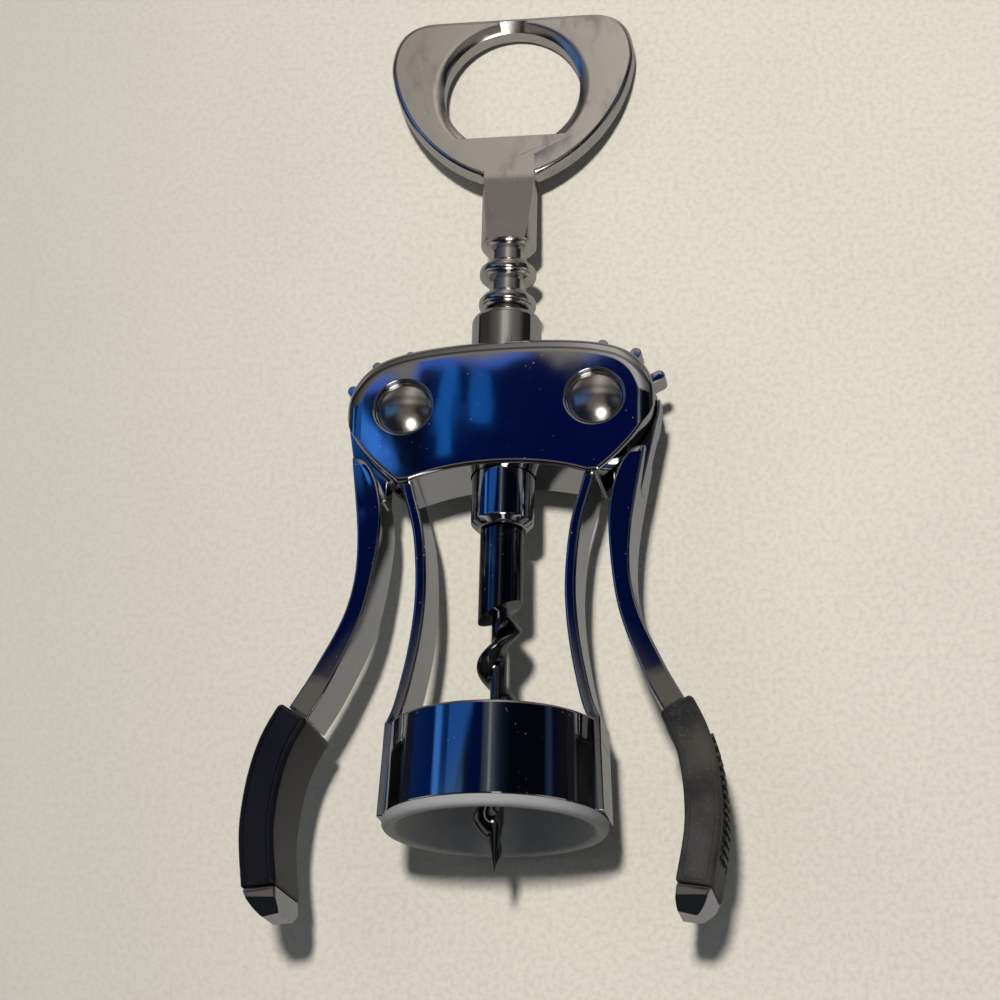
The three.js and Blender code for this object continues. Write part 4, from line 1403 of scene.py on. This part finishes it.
# %% [markdown]
# Two sloping flats thin the round stem to the head's thickness. They are easier to see from the
# side: what is kept is one outline of the stem in that view, made as a plate and turned to face
# that way.

# %% The flats
foot = ring_height[-1] - RING_TIP_THICKNESS / 2
half = HEAD_THICKNESS / 2
wide = RING_RADIUS + OVERRUN
slope_top = head_base - HEAD_THICKNESS / 4
flat_top = head_base + 2 * HEAD_THICKNESS
right_view = [
    Vector((half, flat_top)), Vector((half, slope_top)), Vector((STEM_FOOT_THICKNESS / 2, foot)),
    Vector((wide, foot)), Vector((wide, handle_low.y - OVERRUN)),
]
flats = plate("flats", mirrored(right_view), 4 * STEM_RADIUS)
keep(handle, moved(flats, math.radians(90), "Y"))
print("stem:", STEM_FOOT_THICKNESS, "mm thick at its foot,", HEAD_THICKNESS, "mm at the head")

# %% [markdown]
# The head is a flat plate with well rounded edges, wide at its shoulders. Half of its outline is
# made of two Bezier curves and is mirrored. The opening is a circle with a straight lip at its
# foot. A shallow cone opens its edge on the front, except along that lip, which has to catch a
# crown cap.

# %% The head
HEAD_HALF_WIDTH = 25
HEAD_TOP_HALF_WIDTH = 15.6
CORNER_REACH = 6.8
HEAD_HEIGHT = handle_high.y - head_base
CORNER_HEIGHT = 26.5
FLANK_SHARES = [(0.636, 0.15), (0.955, 0.565)]
OPENING_RADIUS = 14
OPENING_RISE = 20.4
LIP_RISE = 8.9
RIM_WIDTH = 2.2
RIM_DEPTH = 1.3
HEAD_ROUNDING = 1.1


def head_outline():
    """The head's outline, from the stem up its right side, over the top and down the left."""
    flank = bezier([
        (STEM_RADIUS, 0),
        *[(x * HEAD_HALF_WIDTH, y * CORNER_HEIGHT) for x, y in FLANK_SHARES],
        (HEAD_HALF_WIDTH, CORNER_HEIGHT),
    ], 48)
    shoulder = bezier([
        (HEAD_HALF_WIDTH, CORNER_HEIGHT), (HEAD_HALF_WIDTH, CORNER_HEIGHT + CORNER_REACH),
        (HEAD_TOP_HALF_WIDTH + CORNER_REACH, HEAD_HEIGHT), (HEAD_TOP_HALF_WIDTH, HEAD_HEIGHT),
    ], 32)
    return [point + Vector((0, head_base)) for point in mirrored(joined(flank, shoulder))]


head = plate("head", head_outline(), HEAD_THICKNESS, HEAD_ROUNDING, steps=8)
lip_angle = math.degrees(math.asin((LIP_RISE - OPENING_RISE) / OPENING_RADIUS))
centre = (0, head_base + OPENING_RISE)
opening_outline = joined(arc(centre, OPENING_RADIUS, lip_angle, 180 - lip_angle, 128))
rim_profile = [
    (0, -RIM_DEPTH), (OPENING_RADIUS, -RIM_DEPTH),
    (OPENING_RADIUS + 2 * RIM_WIDTH, RIM_DEPTH), (0, RIM_DEPTH),
]
rim = lathe("rim", rim_profile, steps=160, along_z=True)
moved(rim, at=(0, centre[1], HEAD_THICKNESS / 2))
lip = head_base + LIP_RISE
guard_low = (-2 * OPENING_RADIUS, lip - OPENING_RADIUS, -2 * HEAD_THICKNESS)
guard_high = (2 * OPENING_RADIUS, lip, 2 * HEAD_THICKNESS)
cut(rim, block("guard", guard_low, guard_high))
cut(head, plate("opening", opening_outline, 3 * HEAD_THICKNESS), rim)
join(handle, head)
moved(handle, REST_SPIN, "Y")
lay_down(handle, "handle", "chrome_plate", head_chrome, "opener_handle")
print("handle:", len(handle.data.polygons), "faces")

# %% [markdown]
# ## The collar and the worm
#
# The screw hangs in a short barrel with turned-down ends. It is turned too. Its edges are left
# sharp in the profile, and Blender's Bevel modifier rounds them, since no cut has to meet them
# later.

# %% The collar
collar_low, collar_high = extent("lower_collar")
COLLAR_RADIUS = collar_high.x
COLLAR_CHAMFER = 1.3
COLLAR_EDGE = 0.25

collar_end = COLLAR_RADIUS - COLLAR_CHAMFER
collar_profile = [
    (bore_radius, collar_low.y), (collar_end, collar_low.y),
    (COLLAR_RADIUS, collar_low.y + COLLAR_CHAMFER), (COLLAR_RADIUS, collar_high.y - COLLAR_CHAMFER),
    (collar_end, collar_high.y), (bore_radius, collar_high.y),
]
collar = lathe("collar", collar_profile)
bevel = collar.modifiers.new("soft edges", "BEVEL")
bevel.width = COLLAR_EDGE
bevel.segments = 3
bevel.limit_method = "ANGLE"
bake_modifiers(collar)
lay_down(collar, "collar", "chrome_plate", turned_chrome, "lower_collar")
print("collar:", len(collar.data.polygons), "faces")

# %% [markdown]
# ## The worm
#
# Below the collar a plain shank leads into the worm. The worm is an auger: one thick flute winds
# round a solid core. A section shaped like a cam, turned step by step as it goes down, makes both
# at once, and it shrinks to a point at the end. A screw modifier would need the flute and the
# core apart.

# %% The worm
WORM_RADIUS = 4.1
WORM_CORE = 1.5
WORM_PITCH = 14.4
FLUTE_DROP = 37
CREST_DROP = 43.6
POINT_LENGTH = 9
FLUTE_SHARPNESS = 6
FLUTE_CROWDING = 0.5
SHANK_END_DROP = 40
SHANK_END_SLOPE = 26
SHANK_CHAMFER = 0.2
WORM_STEPS_PER_TURN = 60
SECTION_STEPS = 48

reach = -extent("worm")[0].y
length = reach - FLUTE_DROP
steps = round(length / WORM_PITCH * WORM_STEPS_PER_TURN)
points = []
faces = []
for step in range(steps):
    fallen = length * step / steps
    left = length - fallen
    core = WORM_CORE * min(1, left / POINT_LENGTH)
    flute = blend(0, WORM_RADIUS - WORM_CORE, left / POINT_LENGTH)
    for corner in range(SECTION_STEPS):
        spread = 2 * math.pi * corner / SECTION_STEPS
        angle = spread - FLUTE_CROWDING * math.sin(spread)
        radius = core + flute * ((1 + math.cos(angle)) / 2) ** FLUTE_SHARPNESS
        turn = angle + 2 * math.pi * (FLUTE_DROP + fallen - CREST_DROP) / WORM_PITCH
        points.append((radius * math.cos(turn), -FLUTE_DROP - fallen, radius * math.sin(turn)))
points += [(0, -reach, 0), (0, -FLUTE_DROP, 0)]
for step in range(steps - 1):
    row = step * SECTION_STEPS
    for corner in range(SECTION_STEPS):
        after = (corner + 1) % SECTION_STEPS
        below = row + SECTION_STEPS
        faces.append((row + corner, row + after, below + after, below + corner))
last = (steps - 1) * SECTION_STEPS
for corner in range(SECTION_STEPS):
    after = (corner + 1) % SECTION_STEPS
    faces.append((last + corner, last + after, len(points) - 2))
    faces.append((after, corner, len(points) - 1))
flutes = from_faces("flutes", points, faces)
shank_top = collar_low.y - CLEARANCE
shank_end = -SHANK_END_DROP - 2 * WORM_RADIUS
shank_profile = [
    (0, shank_end), (WORM_RADIUS, shank_end), (WORM_RADIUS, shank_top - SHANK_CHAMFER),
    (WORM_RADIUS - SHANK_CHAMFER, shank_top), (SPIGOT_RADIUS, shank_top),
    (SPIGOT_RADIUS, spigot_top), (0, spigot_top),
]
worm = lathe("screw", shank_profile, steps=96)
slant_low = (-SHANK_END_DROP, -SHANK_END_DROP, -SHANK_END_DROP)
slant = block("slant", slant_low, (SHANK_END_DROP, 0, SHANK_END_DROP))
cut(worm, moved(slant, math.radians(SHANK_END_SLOPE), "Z", (0, -SHANK_END_DROP, 0)))
join(worm, flutes)
moved(worm, REST_SPIN, "Y")
lay_down(worm, "handle", "worm_steel", worm_steel, "worm")
print("worm:", len(worm.data.polygons), "faces")

# %% [markdown]
# ## The table
#
# The tool lies on a pale, grained top. The grain is fine noise in the normal with a slight change
# of colour, so that the shadows fall on something real. Painted shade makes the top greyer towards
# the left. Chrome mirrors the top as well, and a pale top would wash it out, so mirrored rays see a
# darker one. Far from the tool, where the lamps fade, it glows a little for the camera alone. The
# table isn't part of the object.

# %% The table
TABLE_PALE = (0.72, 0.69, 0.61)
TABLE_DEEP = (0.58, 0.555, 0.485)
TABLE_SHADE_AND_GLOW = (0.44, 0.425, 0.39)
TABLE_NEAR = (0.24, 0.235, 0.22)
TABLE_FAR = (0.004, 0.005, 0.010)
TABLE_HALF = 1.6
SEEN_NEAR = 0.11
SEEN_FAR = 0.17
PEBBLE_SIZE = 1.1
PEBBLE_DEPTH = 0.05
PEBBLE_SPAN = (0.3, 0.62)
PEBBLE_SHARE = 0.55
CLOUD_SIZE = 45
CLOUD_SHARE = 0.45
LEFT_SHADE_STARTS = 0.02
LEFT_SHADE_ENDS = -0.15
LEFT_SHADE_SHARE = 0.65
GLOW_STARTS = 0.15
GLOW_ENDS = 1.3
BLACK = (0.0, 0.0, 0.0)


def table_top():
    """A matt, grained top, with painted shade at the left, and darker in the tool's reflections."""
    finish = Finish("table_top")
    pebble = finish.noise(PEBBLE_SIZE, detail=3, roughness=0.6)
    cloud = finish.noise(CLOUD_SIZE, detail=3)
    grain = pebble.above(*PEBBLE_SPAN) * PEBBLE_SHARE + cloud * CLOUD_SHARE
    pale = finish.mix(grain, TABLE_DEEP, TABLE_PALE)
    # Painted shade: the top turns greyer to the left of the tool.
    painted_left_shade = (1 - finish.rightward().above(LEFT_SHADE_ENDS, LEFT_SHADE_STARTS)) * LEFT_SHADE_SHARE
    pale = finish.mix(painted_left_shade, pale, TABLE_SHADE_AND_GLOW)
    settings = {"operation": "LENGTH"}
    away = finish.node("ShaderNodeVectorMath", settings, finish.place()).value("Value")
    mirrored_top = finish.mix(away.above(SEEN_NEAR, SEEN_FAR), TABLE_NEAR, TABLE_FAR)
    rays = finish.node("ShaderNodeLightPath")
    glow = rays.value("Is Camera Ray") * away.above(GLOW_STARTS, GLOW_ENDS)
    return finish.surface(
        Base_Color=finish.mix(rays.value("Is Glossy Ray"), pale, mirrored_top),
        Roughness=0.62,
        Emission_Color=finish.mix(glow, BLACK, TABLE_SHADE_AND_GLOW),
        Emission_Strength=1.0,
        Normal=finish.bump(pebble, PEBBLE_DEPTH),
        Specular_IOR_Level=0.3,
    )


corners = rectangle((-TABLE_HALF, -TABLE_HALF), (TABLE_HALF, TABLE_HALF))
table_mesh = bpy.data.meshes.new("table")
table_mesh.from_pydata([(corner.x, corner.y, 0) for corner in corners], [], [(0, 1, 2, 3)])
table_mesh.materials.append(table_top())
table = link("table", table_mesh)
print("table:", 2 * TABLE_HALF, "m wide")

# %% [markdown]
# ## Light
#
# One soft lamp hangs nearly overhead, as the short shadows show. A large one fills in from the
# left. The chrome doesn't mirror either of them: what it mirrors is painted further on.

# %% Lamps
def lamp(name, place, size, power, colour=(1, 1, 1)):
    """A round lamp at a place in metres, facing the middle of the tool."""
    data = bpy.data.lights.new(name, "AREA")
    data.shape = "DISK"
    data.size = size
    data.energy = power
    data.color = colour
    obj = bpy.data.objects.new(name, data)
    obj.location = place
    obj.rotation_euler = (-Vector(place)).to_track_quat("-Z", "Y").to_euler()
    obj.visible_glossy = False
    bpy.context.scene.collection.objects.link(obj)


lamp("key", place=(0.03, 0.15, 1.05), size=0.1, power=11, colour=(1.0, 0.97, 0.92))
lamp("fill", place=(-0.9, 0.2, 0.9), size=0.9, power=1.1)
print("lamps:", len(bpy.data.lights))

# %% [markdown]
# ## What the chrome sees
#
# The front of the tool is vivid blue in the photograph, but its sides aren't: the plating is
# neutral, and it mirrors a dark room with something blue in it. So the world is painted as that
# room. A direction in it is given as on a map of the sky: degrees to the right and degrees back,
# counted from straight up. The flat front plate sees so little of it that its own details are
# given as slopes. A little noise bends the map, because the real plating isn't flat.

# %% Directions in the mirror
BEND_RIGHT = 1.6
BEND_BACK = 1.4
BEND_SLOPE = 0.004
MAP_REACH = 120
NEARLY_UP = 0.001
LEAST_UP = 0.02

world = bpy.data.worlds.new("room")
bpy.context.scene.world = world
room = Finish("room", world)
ray = room.node("ShaderNodeTexCoord").value("Generated")


def along(axis):
    """How much of the ray runs along one of the tool's axes."""
    settings = {"operation": "DOT_PRODUCT"}
    return room.node("ShaderNodeVectorMath", settings, ray, tuple(axis)).value("Value")


def cloudy(scale, detail=2.0):
    """Noise over the directions, from 0 to 1."""
    made = room.node("ShaderNodeTexNoise", None, Vector=ray, Scale=scale, Detail=detail)
    return made.value("Fac")


right, back, up = along(across), along(upward), along(outward)
flat = (right * right + back * back) ** 0.5
spread = up.math("ARCCOSINE", up) * (180 / math.pi) / flat.at_least(NEARLY_UP)
bend = (cloudy(40) - 0.5) * BEND_RIGHT
seen_right = right * spread + bend
seen_back = back * spread + (cloudy(23) - 0.5) * BEND_BACK
lean_right = right / up.at_least(LEAST_UP) + bend * BEND_SLOPE
lean_back = back / up.at_least(LEAST_UP) + bend * BEND_SLOPE


def painted(stops, degrees):
    """A band of colours along an angle. The stops are in degrees."""
    shares = [((place + MAP_REACH) / (2 * MAP_REACH), tone) for place, tone in stops]
    share = degrees.math("MULTIPLY_ADD", degrees, 1 / (2 * MAP_REACH), 0.5, clamp=True)
    return room.node("ShaderNodeValToRGB", {"stops": shares}, Fac=share).value("Color")


def in_room(right_span, back_span):
    """1 in a rectangle of the map, in degrees. A span is low, high and its soft edge's width."""
    return seen_right.between(*right_span) * seen_back.between(*back_span)


def on_slopes(right_span, back_span):
    """The same on the small part that the front plate sees, in slopes."""
    return lean_right.between(*right_span) * lean_back.between(*back_span)


print("the map reaches", MAP_REACH, "degrees to each side of straight up")

# %% [markdown]
# The band that the bell, the levers and the collar see lies about 25 degrees back from straight
# up. It is a dark room with one light blue strip at the left and a narrow grey one near the
# middle.

# %% The dark room
NIGHT = (0.0013, 0.002, 0.0045)
NAVY = (0.0013, 0.005, 0.040)
DEEP_BLUE = (0.001, 0.012, 0.075)
SKY_STRIP = (0.05, 0.20, 0.62)
RING_STOPS = [
    (-110, NIGHT), (-92, (0.004, 0.012, 0.05)), (-80, (0.005, 0.018, 0.08)),
    (-62, DEEP_BLUE), (-57, DEEP_BLUE), (-54, SKY_STRIP), (-50, SKY_STRIP),
    (-46, (0.003, 0.03, 0.14)), (-36, (0.0025, 0.014, 0.06)), (-22, (0.006, 0.014, 0.024)),
    (-16, NAVY), (-5.5, NAVY), (-3, (0.04, 0.05, 0.06)), (1.5, (0.07, 0.08, 0.09)),
    (3, (0.26, 0.29, 0.32)), (5, (0.08, 0.09, 0.10)), (10, (0.025, 0.03, 0.045)),
    (15, (0.006, 0.009, 0.02)), (24, NIGHT), (58, NIGHT), (61, (0.012, 0.025, 0.06)),
    (65, (0.02, 0.035, 0.07)), (68, (0.002, 0.004, 0.015)), (80, (0.008, 0.007, 0.006)),
    (95, NIGHT),
]
colour = painted(RING_STOPS, seen_right)
print("dark room:", len(RING_STOPS), "stops")

# %% [markdown]
# The front plate shows a small part of the room, at high zoom: a bright streak, a patch beside it
# and a blue glow that crosses its left-hand lobe.

# %% What the front plate shows
PLATE_NAVY = (0.0012, 0.005, 0.052)
PLATE_DUSK = (0.0013, 0.004, 0.018)
PLATE_BLUE = (0.012, 0.115, 0.46)
LOBE_BLUE = (0.05, 0.24, 0.85)
GLOW_BLUE = (0.02, 0.12, 0.45)
PLATE_SPANS = ((-0.30, -0.10, 0.02), (0.436, 0.51, 0.004))
STREAK_SPANS = ((-0.2315, -0.2235, 0.001), (0.446, 0.52, 0.005))
PATCH_SPANS = ((-0.2155, -0.2055, 0.0015), (0.462, 0.490, 0.003))
GLOW_SPANS = ((-0.9, -0.285, 0.02), (0.44, 0.56, 0.02))
CLOUD_SPAN = (0.5, 0.75)
CLOUD_COVER = 0.5
PATCH_SHARE = 0.85
GLOW_SHARE = 0.7
LOBE_SLANT = (0.825, 0.565)
LOBE_ACROSS = (0.0335, 0.0415, 0.0025)
LOBE_LOW = (0.4335, 0.4365)
LOBE_RIGHT = (-0.256, -0.250)
DUSK_ENDS = (-0.240, -0.232)

plate_colour = room.mix(lean_right.above(*DUSK_ENDS), PLATE_DUSK, PLATE_NAVY)
clouds = cloudy(30, 3).above(*CLOUD_SPAN) * CLOUD_COVER
plate_colour = room.mix(clouds, plate_colour, PLATE_DUSK)
streak_and_patch = on_slopes(*STREAK_SPANS) + on_slopes(*PATCH_SPANS) * PATCH_SHARE
plate_colour = room.mix(streak_and_patch, plate_colour, PLATE_BLUE)
slanting = lean_right * LOBE_SLANT[0] + lean_back * LOBE_SLANT[1]
lobe = slanting.between(*LOBE_ACROSS) * lean_back.above(*LOBE_LOW)
lobe = lobe * (1 - lean_right.above(*LOBE_RIGHT))
plate_colour = room.mix(lobe, plate_colour, LOBE_BLUE)
colour = room.mix(on_slopes(*PLATE_SPANS), colour, plate_colour)
colour = room.mix(on_slopes(*GLOW_SPANS) * GLOW_SHARE, colour, GLOW_BLUE)
print("the plate sees", round((PLATE_SPANS[0][1] - PLATE_SPANS[0][0]) * 100), "% slopes across")

# %% [markdown]
# Behind that band stands a warm grey wall, brightest in the middle, with a blue halo along its
# foot. The head, the neck and the upper edge of the plates show it.

# %% The wall
WALL_EDGE = 26.3
WALL_SAG = 0.0012
WALL_RAGGED = 1.8
WALL_SOFT = (-0.25, 0.25)
NOTCH = (-14.6, -12.8, 0.5)
NOTCH_DEPTH = 0.8
WALL_BRIGHTNESS = [
    (-90, 0.04), (-50, 0.045), (-28, 0.11), (-18, 0.14), (-9, 0.27), (-3, 0.52), (8, 0.55),
    (20, 0.27), (30, 0.17), (46, 0.12), (62, 0.015), (76, 0.02), (90, 0.06),
]
WALL_TINT = (1.0, 0.93, 0.84)
HALO = (0.05, 0.14, 0.60)
HALO_ACROSS = (-17, 0, 2)
HALO_RISE = (-0.3, 0.0, 0.25)
HALO_BREAKS = (0.42, 0.6)
DIM_BAND = (40, 50, 2)
DIM_SHARE = 0.62

wall_stops = [(place, [level * tint for tint in WALL_TINT]) for place, level in WALL_BRIGHTNESS]
wall = painted(wall_stops, seen_right)
wall = room.mix(seen_back.between(*DIM_BAND), wall, room.mix(DIM_SHARE, wall, NIGHT))
wall_edge = WALL_EDGE + seen_right * seen_right * WALL_SAG
wall_edge = wall_edge - seen_right.between(*NOTCH) * NOTCH_DEPTH
wall_edge = wall_edge + (cloudy(48, 0) - 0.5) * WALL_RAGGED
past_edge = seen_back - wall_edge
halo = past_edge.between(*HALO_RISE) * cloudy(30, 1).above(*HALO_BREAKS)
colour = room.mix(halo * seen_right.between(*HALO_ACROSS), colour, HALO)
colour = room.mix(past_edge.above(*WALL_SOFT), colour, wall)
print("wall:", len(wall_stops), "stops")

# %% [markdown]
# Ahead of the band the room is nearly black. A few panes are laid on it: two greys that the grips
# and the levers' sides catch, the ceiling and a strip of light. Near the table's own level, far
# to both sides, a pale haze stands for the rest of the room. The lamp comes last, over all of
# them.

# %% The ceiling and the lamp
AHEAD = (14, 19)
AHEAD_TURNS = (-70, -20)
AHEAD_LEFT = (0.004, 0.012, 0.04)
AHEAD_RIGHT = (0.010, 0.010, 0.012)
PANES = [
    ((-52, -26, 6), (4, 19, 4), (0.07, 0.15, 0.30)),
    ((40, 54, 4), (6, 18, 3), (0.10, 0.12, 0.16)),
    ((-18, 16, 8), (-16, 15, 5), (0.15, 0.135, 0.115)),
    ((5, 11, 2), (-85, -38, 4), (0.8, 0.8, 0.78)),
]
PALE_FAR = (0.34, 0.33, 0.31)
FAR_SIDEWAYS = (30, 55)
FAR_LEVEL = (0.2, 0.45)
FAR_GAP = (2, 48, 8)
LAMP_WHITE = (7.0, 6.9, 6.6)
LAMP_RIGHT = 11
LAMP_BACK = -27
LAMP_EDGE = (7, 12)

dark_ahead = room.mix(seen_right.above(*AHEAD_TURNS), AHEAD_LEFT, AHEAD_RIGHT)
colour = room.mix(1 - seen_back.above(*AHEAD), colour, dark_ahead)
for right_span, back_span, tone in PANES:
    colour = room.mix(in_room(right_span, back_span), colour, tone)
sideways = seen_right.math("ABSOLUTE", seen_right).above(*FAR_SIDEWAYS)
low_down = sideways * (1 - up.above(*FAR_LEVEL)) * (1 - seen_back.between(*FAR_GAP))
colour = room.mix(low_down, colour, PALE_FAR)
off_lamp = ((seen_right - LAMP_RIGHT) ** 2.0 + (seen_back - LAMP_BACK) ** 2.0) ** 0.5
colour = room.mix(1 - off_lamp.above(*LAMP_EDGE), colour, LAMP_WHITE)
print("room:", len(room.tree.nodes), "nodes")

# %% [markdown]
# Every ray that isn't mirrored sees a plain, dim sky, so that the room colours only the chrome.
# Behind the table, the camera sees plain off-white.

# %% The world
BACKDROP = (0.80, 0.79, 0.76)
SKY = (0.78, 0.87, 1.0)
SKY_STRENGTH = 0.12
rays = room.node("ShaderNodeLightPath")


def background(tone, strength=1.0):
    """A plain light from all round."""
    made = room.node("ShaderNodeBackground", None, Color=tone, Strength=strength)
    return made.value("Background")


def for_rays(kind, others, these):
    """Shows one background to a kind of ray and another to all others."""
    return room.node("ShaderNodeMixShader", None, rays.value(kind), others, these).value("Shader")


lighting = for_rays("Is Glossy Ray", background(SKY, SKY_STRENGTH), background(colour))
shown = for_rays("Is Camera Ray", lighting, background(BACKDROP))
room.node("ShaderNodeOutputWorld", None, Surface=shown)
bpy.context.scene.view_settings.view_transform = "Standard"
print("sky strength:", SKY_STRENGTH)

# %% [markdown]
# ## The camera
#
# The camera's place, turn and lens were found by fitting known points of the tool to the
# photograph. They are given along the tool's axes, then laid down with it.

# %% The camera
CAMERA_PLACE = Vector((74.267, -174.942, 377.21))
CAMERA_TURN = (-0.396, -0.181, 0.051)
FOCAL_SHARE = 2.1975
SENSOR = 36

turn = (Matrix.Rotation(CAMERA_TURN[2], 4, "Z") @ Matrix.Rotation(CAMERA_TURN[1], 4, "Y")
        @ Matrix.Rotation(CAMERA_TURN[0], 4, "X"))
camera_data = bpy.data.cameras.new("camera")
camera_data.sensor_width = SENSOR
camera_data.lens = FOCAL_SHARE * SENSOR
camera_data.clip_start = 0.01
camera = bpy.data.objects.new("camera", camera_data)
camera.matrix_world = TOOL @ Matrix.Translation(CAMERA_PLACE * MM) @ turn.transposed()
bpy.context.scene.collection.objects.link(camera)
bpy.context.scene.camera = camera
print("lens:", round(camera_data.lens, 1), "mm, from", round(CAMERA_PLACE.length), "mm away")

# %% [markdown]
# ## The last update
#
# Blender's view layer is updated once more, so that every piece's place is current.

# %% Update the view layer
bpy.context.view_layer.update()
